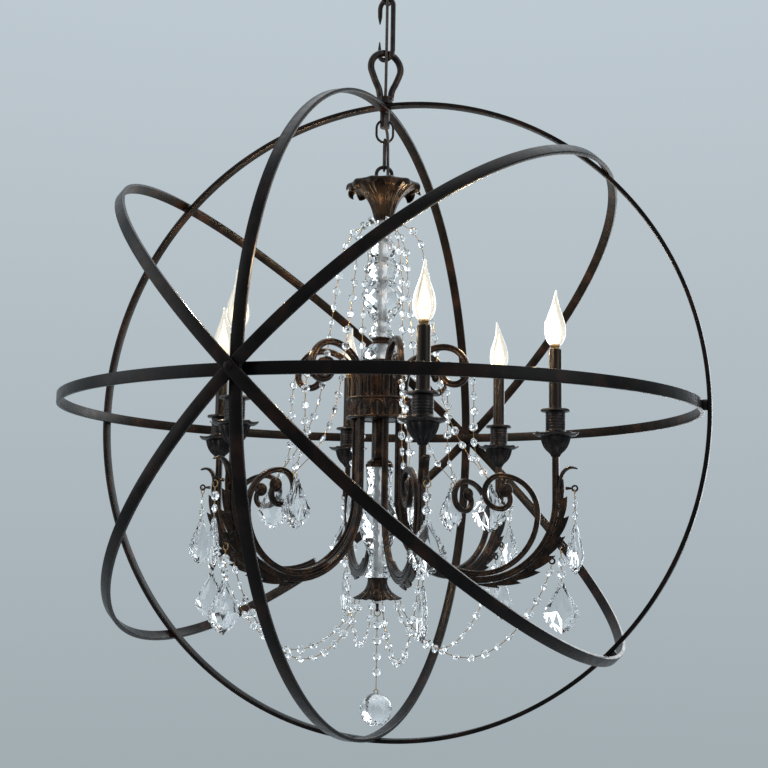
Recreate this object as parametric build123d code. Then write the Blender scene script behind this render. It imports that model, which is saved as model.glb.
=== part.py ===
from build123d import *

import math
import os

# Orb chandelier: a six-light crystal chandelier hung inside an orb of five flat-bar hoops.
# Everything is modelled about the orb's centre, z up, in millimetres, and moved down at the end so that
# the origin lies at the middle of the canopy's ceiling face.
# An arm's azimuth is measured from -Y towards +X. Shapes in a radial plane are drawn with r along +X.

# ---- orb: five hoops nested one bar thickness apart --------------------------------------------------
orb_radius = 500.0
bar_width = 16.0
bar_thickness = 6.0
hoop_pitch = bar_thickness + 0.1
hoop_tilt = 45.0
hoop_sides = 48
bolt_radius = 2.5
bolt_head_radius = 5.5
bolt_head_height = 2.5
bolt_clearance = 0.05
spacer_radius = 8.0
spacer_play = 0.2

# ---- suspension above and inside the orb ---------------------------------------------------------------
contact_gap = 0.3
chain_play = 0.8
boss_shank_radius = 6.0
boss_stub_radius = 8.0
boss_stub_length = 26.6
loop_collar_radius = 13.0
loop_collar_height = 12.0
loop_rod_radius = 5.5
loop_play = 0.5 + 0.2 * loop_rod_radius
loop_bend_radius = 26.0
loop_height = 91.5
loop_foot_offset = 9.0
loop_plane = 42.0
hook_wire_radius = 4.0
hook_bend_radius = 14.0
hook_height = 104.0
hook_tip_length = 20.0
hook_plane = -20.0
chain_wire_radius = 3.0
chain_bend_radius = 10.0
chain_pitch = 40.0
jump_wire_radius = 2.0
jump_bend_radius = 13.5
jump_height = 37.5
jump_plane = 25.0
jump_hole_clearance = 0.5
jump_hole_depth = 13.0
oval_bend_radius = 9.0
oval_height = 51.8
crown_loop_wire_radius = 3.0
crown_loop_bend_radius = 12.5
ring_seat = 1.0
cord_radius = 2.4
cord_hole_clearance = 0.6
cord_sides = 8

# ---- canopy ----------------------------------------------------------------------------------------------
canopy_radius = 65.0
canopy_height = 32.0
canopy_wall = 1.6
canopy_sides = 20
canopy_rim = 4.0
strap_length = 110.0
strap_width = 20.0
strap_thickness = 2.5
box_screw_spacing = 88.9
box_screw_hole_radius = 2.4
nipple_radius = 4.8
nipple_bore_radius = 3.2
nipple_clearance = 0.1
nut_across_flats = 14.0
nut_height = 5.0
canopy_collar_radius = 14.0
canopy_collar_height = 10.0
canopy_loop_wire_radius = 3.5
canopy_loop_bend_radius = 13.0

# ---- column ----------------------------------------------------------------------------------------------
rod_radius = 5.0
rod_bore_radius = 3.0
rod_clearance = 0.2
stack_gap = 0.2
crown_base_z = 307.0
crown_neck_radius = 15.3
crown_wall = 2.2
crown_scallops = 12
crown_valley = 5.5
crown_collar_radius = 15.0
crown_collar_height = 8.0
crown_neck_height = 7.0
crown_stem_radius = 5.0
glass_sides = 12
coupling_radius = 16.0
coupling_top_z = 118.0
coupling_base_z = 107.0
knop_base_z = 81.0
band_top_z = 21.0
band_base_z = -12.0
band_radius = 54.0
core_rib_count = 12
core_rib_depth = 2.0
post_radius = 12.0
post_collar_radius = 22.0
post_collar_height = 10.0
post_base_z = -87.0
lower_glass_base_z = -256.0
bell_base_z = -290.0
bell_rim_radius = 38.0
finial_length = 18.0

# ---- arms, scrolls and leaves ----------------------------------------------------------------------------
arm_count = 6
first_arm_azimuth = 32.0
arm_width = 9.0
arm_thickness = 10.0
hub_arm_radius = 40.0
candle_circle_radius = 276.0
arm_bend_z = -138.0
arm_curl_base_z = 39.0
arm_curl_bends = ((61.0, 90.0), (39.0, 90.0), (20.0, 180.0), (11.0, 150.0))
bend_step = 22.5
wide_bend_step = 15.0
wide_bend_radius = 60.0
scroll_bar = 8.0
scroll_seat_from = 240.0
scroll_bends = ((91.0, 90.0), (56.0, 90.0), (25.0, 180.0), (15.0, 150.0))
scroll_seat_sweep = 30.0
scroll_ball_radius = 6.0
leaf_thickness = 3.0
leaf_from = 15.0
leaf_to = -90.0
leaf_teeth = 7
leaf_root = 9.0
leaf_tooth = 8.0
leaf_eye_radius = 2.2
leaf_eye_wall = 3.5
outer_eye_angle = 9.0
drop_eye_angle = -28.0
swag_eye_angle = -38.0
outer_eye_reach = 23.0
lower_eye_reach = 19.0

# ---- candles ----------------------------------------------------------------------------------------------
cup_sides = 8
cup_height = 72.0
cup_pan_radius = 35.0
cup_flange_radius = 22.0
bulb_cap_radius = 6.0
bulb_cap_length = 26.0
bulb_cap_clearance = 0.3
socket_bore_radius = bulb_cap_radius + bulb_cap_clearance
socket_wall = 1.3
socket_radius = socket_bore_radius + socket_wall
socket_length = 34.0
socket_clearance = 1.0
sleeve_wall = 1.2
sleeve_radius = socket_radius + socket_clearance + sleeve_wall
sleeve_length = 90.0
bulb_radius = 16.0
bulb_length = 90.0
bulb_sides = 8

# ---- crystals ----------------------------------------------------------------------------------------------
bead_radius = 7.0
bead_half_thickness = 3.3
bead_pitch = 22.0
pin_radius = 0.8
pin_play = 0.2
hook_ring_radius = 5.0
hook_ring_wire = 0.8
hang_play = 0.8
small_drop_length = 50.0
large_drop_length = 75.0
drop_width_share = 0.46
drop_thickness_share = 0.15
ball_radius = 25.0
ball_bead_count = 3
strand_offset = 15.0
crown_strand_tail = 34.0

parts = {}


def keep(name, *shapes):
    """Collects the solids of one sub-part."""
    parts.setdefault(name, []).extend(solid for shape in shapes for solid in shape.solids())


def direction(angle):
    return Vector(math.cos(math.radians(angle)), math.sin(math.radians(angle)), 0)


def trace(start, heading, moves):
    """Points in a plane along tangent moves: (length,) runs straight, (radius, sweep) bends, left if positive."""
    x, y = start
    points = [(x, y)]
    for move in moves:
        if len(move) == 1:
            x += move[0] * math.cos(math.radians(heading))
            y += move[0] * math.sin(math.radians(heading))
            points.append((x, y))
            continue
        radius, sweep = move
        step = wide_bend_step if radius > wide_bend_radius else bend_step
        steps = max(2, round(abs(sweep) / step))
        side = math.copysign(1, sweep)
        centre_x = x - side * radius * math.sin(math.radians(heading))
        centre_y = y + side * radius * math.cos(math.radians(heading))
        for _ in range(steps):
            heading += sweep / steps
            x = centre_x + side * radius * math.sin(math.radians(heading))
            y = centre_y - side * radius * math.cos(math.radians(heading))
            points.append((x, y))
    return points


def upright(points, plane_angle=0.0):
    """Plane points (r, z) stood up in a vertical plane through the axis."""
    along = direction(plane_angle)
    return [along * r + Vector(0, 0, z) for r, z in points]


def swept(points, section, closed=False):
    """A bar of the given flat section along straight runs with mitred corners."""
    if closed:
        middle = (points[0] + points[1]) * 0.5
        path = Polyline(middle, *points[1:], points[0], middle)
        start = middle
    else:
        path = Polyline(*points)
        start = points[0]
    ahead = (points[1] - points[0]).normalized()
    flat = ahead.cross(Vector(0, 0, 1))
    if flat.length < 1e-6:
        others = [p for p in points if (p - points[0]).cross(ahead).length > 1e-6]
        flat = (others[0] - points[0]).cross(ahead)
    plane = Plane(start, x_dir=flat.normalized(), z_dir=ahead)
    return sweep(plane * section, path=path.wire(), transition=Transition.RIGHT)


def round_bar(radius, sides=8):
    """A wire's section: a polygon whose flats lie at the wire's radius."""
    return RegularPolygon(radius, sides, major_radius=False, rotation=90 - 180.0 / sides)


def stadium(bend, height, top_z):
    """The centreline of an oval link from its top, as (r, z) points."""
    run = height - 2 * bend
    side = [(run,)] if run > 0 else []
    return trace((0, top_z), 180, [(bend, 90)] + side + [(bend, 180)] + side + [(bend, 90)])[:-1]


def ring_of(radius, z, sides, valley=0.0):
    """Points round a circle; every other point is drawn in by the valley's depth."""
    return [
        direction(180.0 / sides * (2 * k + 1)) * (radius - (valley if k % 2 else 0)) + Vector(0, 0, z)
        for k in range(sides)
    ]


def panelled(rings, closed=False, split=False):
    """A solid of flat panels between rings of points; a closed one joins its last ring to its first."""
    faces = []
    count = len(rings[0])
    following = rings[1:] + rings[:1] if closed else rings[1:]
    for low, high in zip(rings, following):
        for k in range(count):
            n = (k + 1) % count
            panel = [low[k], low[n], high[n], high[k]]
            pieces = [panel[:3], [panel[0], panel[2], panel[3]]] if split else [panel]
            faces.extend(Face(Wire.make_polygon(piece)) for piece in pieces)
    if not closed:
        faces.extend(Face(Wire.make_polygon(end)) for end in (rings[0], rings[-1]))
    return Solid(Shell(faces))


def turned(outline, sides, bore=0.0):
    """A panelled turning through the outline's (z, radius) pairs, bored right through if asked."""
    rings = [ring_of(r, z, sides) for z, r in outline]
    if bore:
        bore_vertex = bore / math.cos(math.pi / sides)
        rings.append(ring_of(bore_vertex, outline[-1][0], sides))
        rings.append(ring_of(bore_vertex, outline[0][0], sides))
    return panelled(rings, closed=bool(bore))


def peg(radius, length, sides=8, hole=False):
    """A polygonal rod about Z; a hole's flats lie at the radius, a rod's corners do."""
    return extrude(RegularPolygon(radius, sides, major_radius=not hole), length / 2, both=True)


def arm_azimuths():
    return [first_arm_azimuth + 360.0 / arm_count * k for k in range(arm_count)]


def at_arm(shape, azimuth):
    return Rot(0, 0, azimuth - 90) * shape


# ---- heights that follow from the seats -------------------------------------------------------------------
equator_radius = orb_radius - 2 * hoop_pitch
side_radius = orb_radius - hoop_pitch
face_radius = orb_radius
rising_radius = orb_radius + hoop_pitch
falling_radius = orb_radius + 2 * hoop_pitch
top_outside = face_radius + bar_thickness / 2
top_inside = side_radius - bar_thickness / 2 - 0.1

loop_top = top_outside + loop_height - loop_rod_radius + 2.5
hook_bottom = loop_top - loop_rod_radius - hook_wire_radius - loop_play
hook_top = hook_bottom + hook_height
chain_gap = 2 * chain_wire_radius + chain_play
link_2_bottom = hook_top - hook_wire_radius - chain_wire_radius - chain_play
link_2_top = link_2_bottom + chain_pitch
link_1_bottom = link_2_top - chain_gap
link_1_top = link_1_bottom + chain_pitch
canopy_loop_bottom = link_1_top - chain_wire_radius - canopy_loop_wire_radius - chain_play
canopy_loop_centre = canopy_loop_bottom + canopy_loop_bend_radius
canopy_collar_base = canopy_loop_centre + canopy_loop_bend_radius - ring_seat
canopy_top = canopy_collar_base + canopy_collar_height
ceiling = canopy_top + canopy_height

stub_base = top_inside - boss_stub_length
jump_top = stub_base + jump_hole_depth
jump_bottom = jump_top - jump_height
oval_top = jump_bottom + 2 * jump_wire_radius + chain_play
oval_bottom = oval_top - oval_height
crown_loop_top = oval_bottom + jump_wire_radius + crown_loop_wire_radius + chain_play
crown_loop_centre = crown_loop_top - crown_loop_bend_radius
crown_stem_top = crown_loop_centre - crown_loop_bend_radius
crown_collar_top = crown_stem_top - crown_neck_height
crown_collar_base = crown_collar_top - crown_collar_height
link_plane_2 = hook_plane + 90
link_plane_1 = hook_plane
oval_plane = jump_plane + 90

# The supply cord, held all the way: beside the chain, through the top loop's collar and the boss, out of the
# stub's side, beside the oval link and into the crown loop's collar.
across_ring = direction(jump_plane - 90)
along_ring = direction(jump_plane)
cord_beside_chain = across_ring * 9.8
cord_beside_link = along_ring * 5.5 + across_ring * 6.3
upper_cord_route = [
    cord_beside_chain + Vector(0, 0, canopy_collar_base + 6),
    cord_beside_chain + Vector(0, 0, top_outside + 38),
    Vector(0, 0, top_outside + 17),
    Vector(0, 0, top_inside + 9),
]
lower_cord_route = [
    Vector(0, 0, top_inside + 9),
    Vector(0, 0, top_inside - 1),
    across_ring * 11.5 + Vector(0, 0, stub_base + 14),
    across_ring * 11.5 + Vector(0, 0, stub_base - 1),
    cord_beside_link + Vector(0, 0, jump_bottom + 6),
    cord_beside_link + Vector(0, 0, crown_collar_base + 3),
]


def corner_radii(route):
    """Each corner's arc as large as its two runs allow."""
    radii = []
    for before, corner, after in zip(route, route[1:], route[2:]):
        turn = (corner - before).get_angle(after - corner)
        run = min((corner - before).length, (after - corner).length)
        radii.append(0.45 * run / math.tan(math.radians(turn / 2)))
    return radii


def cord_path(route):
    return FilletPolyline(*route, radius=corner_radii(route))


def cord(route):
    plane = Plane(route[0], z_dir=route[1] - route[0])
    return sweep(plane * RegularPolygon(cord_radius, cord_sides), path=cord_path(route).wire())


def cord_bore(route):
    """A clear way for the cord, along short runs that keep to its bends."""
    points = [route[0]]
    for edge in cord_path(route).edges():
        steps = 1 if edge.geom_type == GeomType.LINE else 3
        points.extend(edge.position_at((k + 1) / steps) for k in range(steps))
    radius = cord_radius + cord_hole_clearance
    return swept(points, RegularPolygon(radius, cord_sides, major_radius=False))


def make_hoops():
    hoops = {
        "equator_ring": (equator_radius, Rot(0, 0, 0)),
        "side_ring": (side_radius, Rot(0, 90, 0)),
        "face_ring": (face_radius, Rot(90, 0, 0)),
        "rising_ring": (rising_radius, Rot(0, -hoop_tilt, 0)),
        "falling_ring": (falling_radius, Rot(0, hoop_tilt, 0)),
    }
    half = bar_thickness / 2
    play = hoop_pitch - bar_thickness
    holes = [Pos(0, 0, (top_inside + top_outside) / 2) * peg(boss_shank_radius + bolt_clearance, 20, hole=True)]
    grip = falling_radius - equator_radius + bar_thickness
    middle = (falling_radius + equator_radius) / 2
    spacer_thickness = 2 * hoop_pitch - bar_thickness - spacer_play
    for side in (-1, 1):
        # a bolt through four hoops at each pole, with a spacer in the face hoop's place
        out = Plane((0, 0, 0), z_dir=(0, side, 0))
        holes.append(out * Pos(0, 0, middle) * peg(bolt_radius + bolt_clearance, grip + 2, hole=True))
        inside = middle - grip / 2 - play
        outside = middle + grip / 2 + play
        bolt = [
            (inside - bolt_head_height, 0.6 * bolt_head_radius),
            (inside - 0.5 * bolt_head_height, bolt_head_radius),
            (inside, bolt_head_radius),
            (inside, bolt_radius),
            (outside, bolt_radius),
            (outside, bolt_head_radius),
            (outside + 0.5 * bolt_head_height, bolt_head_radius),
            (outside + bolt_head_height, 0.6 * bolt_head_radius),
        ]
        spacer = peg(spacer_radius, spacer_thickness) - peg(bolt_radius + bolt_clearance, bar_width, hole=True)
        keep("hoop_bolts", out * turned(bolt, 8), out * Pos(0, 0, face_radius) * spacer)
    tilt = math.radians(hoop_tilt)
    for sign in (-1, 1):
        # spacers welded where two hoops cross with one layer free between them
        across = Plane((0, 0, 0), z_dir=(sign, 0, 0)) * Pos(0, 0, side_radius)
        down = Plane((0, 0, 0), z_dir=(sign * math.cos(tilt), 0, -sign * math.sin(tilt))) * Pos(0, 0, rising_radius)
        for place in (across, down):
            keep("hoop_bolts", place * peg(spacer_radius, spacer_thickness))
    for name, (radius, turn) in hoops.items():
        corner = math.cos(math.pi / hoop_sides)
        rings = []
        for r, z in ((-half, -bar_width), (half, -bar_width), (half, bar_width), (-half, bar_width)):
            rings.append(ring_of((radius + r) / corner, z / 2, hoop_sides))
        hoop = turn * panelled(rings, closed=True)
        normal = (turn * Plane.XY).z_dir
        for hole in holes:
            if abs(hole.center().dot(normal)) < bar_width:
                hoop -= hole
        keep(name, hoop)


def make_suspension():
    upper = cord(upper_cord_route)
    lower = cord(lower_cord_route)
    keep("supply_cord_upper", upper)
    keep("supply_cord_lower", lower)
    for name, solid, route in (("upper", upper, upper_cord_route), ("lower", lower, lower_cord_route)):
        length = cord_path(route).length
        section = RegularPolygon(cord_radius, cord_sides).area
        print(f"{name} cord: length {length:.1f}, volume {solid.volume:.0f} of {section * length:.0f}, radii", end=" ")
        print([round(r, 1) for r in corner_radii(route)])
    upper_bore = cord_bore(upper_cord_route)
    lower_bore = cord_bore(lower_cord_route)

    # boss: a stub under the crossing, its shank up through both hoops into the top loop's collar
    shank_top = top_outside + loop_collar_height - 2
    boss = turned(
        [
            (stub_base, boss_stub_radius),
            (top_inside, boss_stub_radius),
            (top_inside, boss_shank_radius),
            (shank_top, boss_shank_radius),
        ],
        8,
    )
    ring_points = upright(stadium(jump_bend_radius, jump_height, jump_top), jump_plane)
    ring_hole = swept(ring_points, round_bar(jump_wire_radius + jump_hole_clearance), closed=True)
    keep("top_boss", boss - ring_hole - upper_bore - lower_bore)

    # top loop: an omega-shaped rod on a threaded collar
    collar = Pos(0, 0, top_outside + loop_collar_height / 2) * peg(loop_collar_radius, loop_collar_height, 12)
    collar -= Pos(0, 0, top_outside - 1 + loop_collar_height / 2) * peg(
        boss_shank_radius + bolt_clearance, loop_collar_height, hole=True
    )
    shoulder = loop_top - loop_bend_radius
    foot = (loop_foot_offset, top_outside + loop_collar_height - 2)
    rise = math.hypot(loop_bend_radius - foot[0], shoulder - foot[1])
    lean = math.degrees(math.atan2(loop_bend_radius - foot[0], shoulder - foot[1]))
    right = trace((loop_bend_radius, shoulder), 90, [(loop_bend_radius, 90)])
    flank = trace(foot, 90 - lean / 3, [(rise * 0.45,)])
    half_loop = [foot, flank[-1]] + right
    rod = [(-x, y) for x, y in half_loop] + half_loop[-2::-1]
    loop = swept(upright(rod, loop_plane), round_bar(loop_rod_radius, 12))
    keep("top_loop", (loop + collar) - upper_bore - lower_bore)

    # hook: a round bar bent over at both ends, both tips on one side
    straight = hook_height - 2 * hook_bend_radius
    tip_base = hook_bottom + hook_bend_radius
    hook = trace(
        (-hook_bend_radius, tip_base + hook_tip_length),
        -90,
        [(hook_tip_length,), (hook_bend_radius, 180), (straight,), (hook_bend_radius, 180), (hook_tip_length + 5,)],
    )
    keep("s_hook", swept(upright(hook, hook_plane), round_bar(hook_wire_radius)))

    for name, top, plane in (("chain_link_1", link_1_top, link_plane_1), ("chain_link_2", link_2_top, link_plane_2)):
        link = upright(stadium(chain_bend_radius, chain_pitch, top), plane)
        keep(name, swept(link, round_bar(chain_wire_radius), closed=True))
    keep("jump_ring", swept(ring_points, round_bar(jump_wire_radius, 6), closed=True))
    oval = upright(stadium(oval_bend_radius, oval_height, oval_top), oval_plane)
    keep("oval_link", swept(oval, round_bar(jump_wire_radius, 6), closed=True))

    # crown loop: a ring on a stem and a collar that the column rod screws into
    ring = upright(stadium(crown_loop_bend_radius, 2 * crown_loop_bend_radius, crown_loop_top), jump_plane)
    loop = swept(ring, round_bar(crown_loop_wire_radius), closed=True)
    seat = turned(
        [
            (crown_collar_base, crown_collar_radius),
            (crown_collar_top, crown_collar_radius),
            (crown_collar_top, crown_stem_radius),
            (crown_stem_top + ring_seat, crown_stem_radius),
        ],
        12,
    )
    rod_hole = Pos(0, 0, crown_collar_base + 2) * peg(rod_radius + rod_clearance, 6, hole=True)
    keep("crown_loop", (loop + seat) - rod_hole - lower_bore)
    return upper_bore


def make_canopy(cord_way):
    outline = [
        (ceiling, canopy_radius),
        (ceiling - canopy_rim, canopy_radius),
        (ceiling - 0.34 * canopy_height, canopy_radius * 0.955),
        (ceiling - 0.54 * canopy_height, canopy_radius * 0.83),
        (ceiling - 0.74 * canopy_height, canopy_radius * 0.62),
        (canopy_top + 3, canopy_radius * 0.42),
        (canopy_top, canopy_radius * 0.24),
        (canopy_top, nipple_radius + nipple_clearance + 0.2),
    ]
    lining = [(z + canopy_wall * (1.0 if k > 4 else 0.4 if k > 1 else 0), r - canopy_wall * (k < 6))
              for k, (z, r) in enumerate(outline)]
    lining[-1] = (canopy_top + canopy_wall, outline[-1][1])
    rings = [ring_of(r, z, canopy_sides) for z, r in outline + lining[::-1]]
    keep("canopy", panelled(rings, closed=True))

    strap = Pos(0, 0, ceiling - strap_thickness / 2) * Box(strap_length, strap_width, strap_thickness)
    for side in (-1, 1):
        strap -= Pos(side * box_screw_spacing / 2, 0, ceiling) * Cylinder(box_screw_hole_radius, 20)
    strap -= Pos(0, 0, ceiling) * peg(nipple_radius + nipple_clearance, 20, hole=True)
    keep("mounting_strap", strap)

    nipple_top = ceiling - 0.2
    nipple_base = canopy_collar_base + canopy_loop_wire_radius + stack_gap
    keep("canopy_nipple", turned([(nipple_base, nipple_radius), (nipple_top, nipple_radius)], 8, nipple_bore_radius))
    nut = extrude(RegularPolygon(nut_across_flats / 2, 6, major_radius=False), nut_height)
    nut -= peg(nipple_radius + nipple_clearance, 3 * nut_height, hole=True)
    keep("nipple_nut", Pos(0, 0, ceiling - strap_thickness - nut_height - stack_gap) * nut)

    collar = Pos(0, 0, canopy_collar_base + canopy_collar_height / 2 - stack_gap / 2) * peg(
        canopy_collar_radius, canopy_collar_height - stack_gap, 12
    )
    socket = Pos(0, 0, canopy_collar_base + canopy_loop_wire_radius + canopy_collar_height / 2) * peg(
        nipple_radius + nipple_clearance, canopy_collar_height, hole=True
    )
    ring_top = canopy_loop_centre + canopy_loop_bend_radius
    ring = upright(stadium(canopy_loop_bend_radius, 2 * canopy_loop_bend_radius, ring_top), link_plane_2)
    loop = swept(ring, round_bar(canopy_loop_wire_radius), closed=True)
    keep("canopy_loop", (loop + collar) - cord_way - socket)


def make_column():
    bore = rod_radius + rod_clearance
    rod_top = crown_collar_base + 4.5
    rod_base = bell_base_z - 6
    keep("column_rod", turned([(rod_base, rod_radius), (rod_top, rod_radius)], 8, rod_bore_radius))

    outline = [(0, 0), (13, 1.5), (30, 7.5), (44, 16), (54, 27), (59, 39.7)]
    steps = len(outline) - 1
    outer, lining = [], []
    for k, (rise, spread) in enumerate(outline):
        share = k / steps
        z, r = crown_base_z + rise, crown_neck_radius + spread
        valley = crown_valley * share**2
        outer.append(ring_of(r, z, 2 * crown_scallops, valley))
        lining.append(
            ring_of(r - crown_wall * (1 - 0.8 * share), z + crown_wall * share, 2 * crown_scallops, valley)
        )
    floor_z = crown_base_z + 12
    floor_ring = ring_of(bore + 0.2, floor_z, 2 * crown_scallops)
    base_ring = ring_of(bore + 0.2, crown_base_z, 2 * crown_scallops)
    keep("crown_cup", panelled(outer + lining[:0:-1] + [floor_ring, base_ring], closed=True, split=True))

    gap = stack_gap / 2
    upper = [
        (coupling_top_z + gap, 21),
        (128, 17),
        (142, 13.5),
        (163, 26),
        (187, 33),
        (200, 29),
        (212, 21),
        (228, 28.5),
        (247, 19),
        (262, 22.5),
        (282, 13),
        (crown_base_z - gap, 14.5),
    ]
    keep("upper_glass", turned(upper, glass_sides, bore))
    coupling = [(coupling_base_z + gap, coupling_radius), (coupling_top_z - gap, coupling_radius)]
    keep("glass_coupling", turned(coupling, glass_sides, bore))
    knop = [(knop_base_z + gap, 30), (90, 30), (99, 26), (coupling_base_z - gap, 18)]
    keep("knop_glass", turned(knop, glass_sides, bore))

    core_radius = hub_arm_radius - arm_thickness / 2 - contact_gap
    ribbed_radius = core_radius - 8
    core_sides = 2 * core_rib_count
    core = [
        ring_of(core_radius, band_base_z, core_sides),
        ring_of(core_radius, band_top_z, core_sides),
        ring_of(ribbed_radius, band_top_z, core_sides, core_rib_depth),
        ring_of(ribbed_radius, knop_base_z - gap, core_sides, core_rib_depth),
        ring_of(bore + 0.1, knop_base_z - gap, core_sides),
        ring_of(bore + 0.1, band_base_z, core_sides),
    ]
    keep("hub_core", panelled(core, closed=True))

    band_sides = 4 * arm_count
    band_seat = (hub_arm_radius + arm_thickness / 2 + contact_gap) / math.cos(math.pi / band_sides)
    band = [(band_base_z, band_radius), (band_top_z, band_radius), (band_top_z, band_seat), (band_base_z, band_seat)]
    keep("hub_band", panelled([ring_of(r, z, band_sides) for z, r in band], closed=True))

    post = [
        (post_base_z + gap, post_collar_radius),
        (post_base_z + post_collar_height, post_collar_radius),
        (post_base_z + post_collar_height + 2, post_radius),
        (band_base_z - gap, post_radius),
    ]
    keep("centre_post", turned(post, glass_sides, bore))
    lower = [
        (lower_glass_base_z + gap, 22),
        (-240, 17),
        (-224, 13.5),
        (-205, 22),
        (-180, 29.5),
        (-160, 29.5),
        (-135, 21),
        (-105, 20),
        (post_base_z - gap, 21.5),
    ]
    keep("lower_glass", turned(lower, glass_sides, bore))
    bell = [
        (bell_base_z, bell_rim_radius - 1),
        (bell_base_z + 3, bell_rim_radius),
        (bell_base_z + 8, 27),
        (bell_base_z + 16, 20),
        (bell_base_z + 26, 16),
        (lower_glass_base_z - gap, 16),
    ]
    keep("base_bell", turned(bell, 16, bore))

    tip = bell_base_z - finial_length
    finial = turned([(tip, 5), (tip + 7, 7), (bell_base_z - 5, 9.5), (bell_base_z - gap, 9.5)], 8)
    finial -= Pos(0, 0, bell_base_z - 3.5) * peg(bore, 7, hole=True)
    for side in (-1, 1):
        finial -= Pos(side * (10 + leaf_thickness / 2), 0, tip + 1) * Box(20, 40, 2 * hook_ring_radius + 4)
    finial -= Pos(0, 0, tip + 3.5) * Rot(0, 90, 0) * peg(leaf_eye_radius, 40, hole=True)
    keep("finial", finial)


def arm_bend_centre():
    return (hub_arm_radius + candle_circle_radius) / 2, arm_bend_z


def arm_path():
    bend = (candle_circle_radius - hub_arm_radius) / 2
    run = arm_curl_base_z - arm_bend_z
    curl = [(radius, -sweep) for radius, sweep in arm_curl_bends]
    up = trace((hub_arm_radius, arm_bend_z), 90, [(run,)] + curl)
    down = trace((hub_arm_radius, arm_bend_z), -90, [(bend, 180), (-cup_height - arm_bend_z - contact_gap,)])
    return up[::-1] + down[1:]


def scroll_path():
    centre_r, centre_z = arm_bend_centre()
    seat = (candle_circle_radius - hub_arm_radius) / 2 - arm_thickness / 2 - contact_gap - scroll_bar / 2
    start = (
        centre_r + seat * math.cos(math.radians(scroll_seat_from)),
        centre_z + seat * math.sin(math.radians(scroll_seat_from)),
    )
    return trace(start, scroll_seat_from + 90, [(seat, scroll_seat_sweep)] + list(scroll_bends))


def scroll_curl_centre():
    """Middle of the scroll's first full curl."""
    top = max(scroll_path(), key=lambda point: point[1])
    return top[0], top[1] - scroll_bends[2][0]


def leaf_radius(reach):
    return (candle_circle_radius - hub_arm_radius) / 2 + arm_thickness / 2 + contact_gap + reach


def on_leaf(angle, reach):
    centre_r, centre_z = arm_bend_centre()
    radius = leaf_radius(reach)
    if angle > 0:
        return (centre_r + radius, centre_z + leaf_radius(0) * math.radians(angle))
    return (
        centre_r + radius * math.cos(math.radians(angle)),
        centre_z + radius * math.sin(math.radians(angle)),
    )


def leaf_face():
    """A serrated plate that follows the outside of the arm's bend, thickest in the middle."""
    steps = 2 * leaf_teeth
    outer = []
    for k in range(steps + 1):
        share = k / steps
        swell = math.sin(math.pi * (0.12 + 0.84 * share))
        reach = leaf_root * swell + (leaf_tooth if k % 2 else 0) * swell
        outer.append(on_leaf(leaf_from + (leaf_to - leaf_from) * share, reach + 1.5))
    inner = [on_leaf(leaf_from + (leaf_to - leaf_from) * k / leaf_teeth, 0) for k in range(leaf_teeth + 1)]
    points = upright(outer + inner[::-1])
    return make_face(Polyline(*points, points[0]))


def leaf_eyes():
    return {
        "outer": on_leaf(outer_eye_angle, outer_eye_reach),
        "drop": on_leaf(drop_eye_angle, lower_eye_reach),
        "swag": on_leaf(swag_eye_angle, lower_eye_reach),
    }


def make_arms():
    arm = swept(upright(arm_path()), Rectangle(arm_width, arm_thickness))
    scroll_points = scroll_path()
    scroll = swept(upright(scroll_points), Rectangle(scroll_bar, scroll_bar))
    end = scroll_points[-1]
    ball = [(-scroll_ball_radius, 2.5), (-2.5, scroll_ball_radius), (2.5, scroll_ball_radius), (scroll_ball_radius, 2.5)]
    scroll += Pos(end[0], 0, end[1]) * turned(ball, 8)
    leaf = extrude(leaf_face(), leaf_thickness / 2, both=True)
    holes = []
    centre_r, centre_z = arm_bend_centre()
    for r, z in leaf_eyes().values():
        tilt = math.degrees(math.atan2(z - centre_z, r - centre_r)) if z < centre_z else 0.0
        neck = Pos(r, 0, z) * Rot(0, -tilt, 0) * Pos(-8, 0, 0) * Box(10, leaf_thickness, 2 * leaf_eye_wall)
        leaf += neck
        eye = Pos(r, 0, z) * Rot(90, 0, 0)
        leaf += eye * peg(leaf_eye_radius + leaf_eye_wall, leaf_thickness, 6)
        holes.append(eye * peg(leaf_eye_radius, 2 * leaf_thickness, 6, hole=True))
    for hole in holes:
        leaf -= hole
    for azimuth in arm_azimuths():
        keep("arms", at_arm(arm, azimuth))
        keep("arm_scrolls", at_arm(scroll, azimuth))
        keep("arm_leaves", at_arm(leaf, azimuth))


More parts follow.
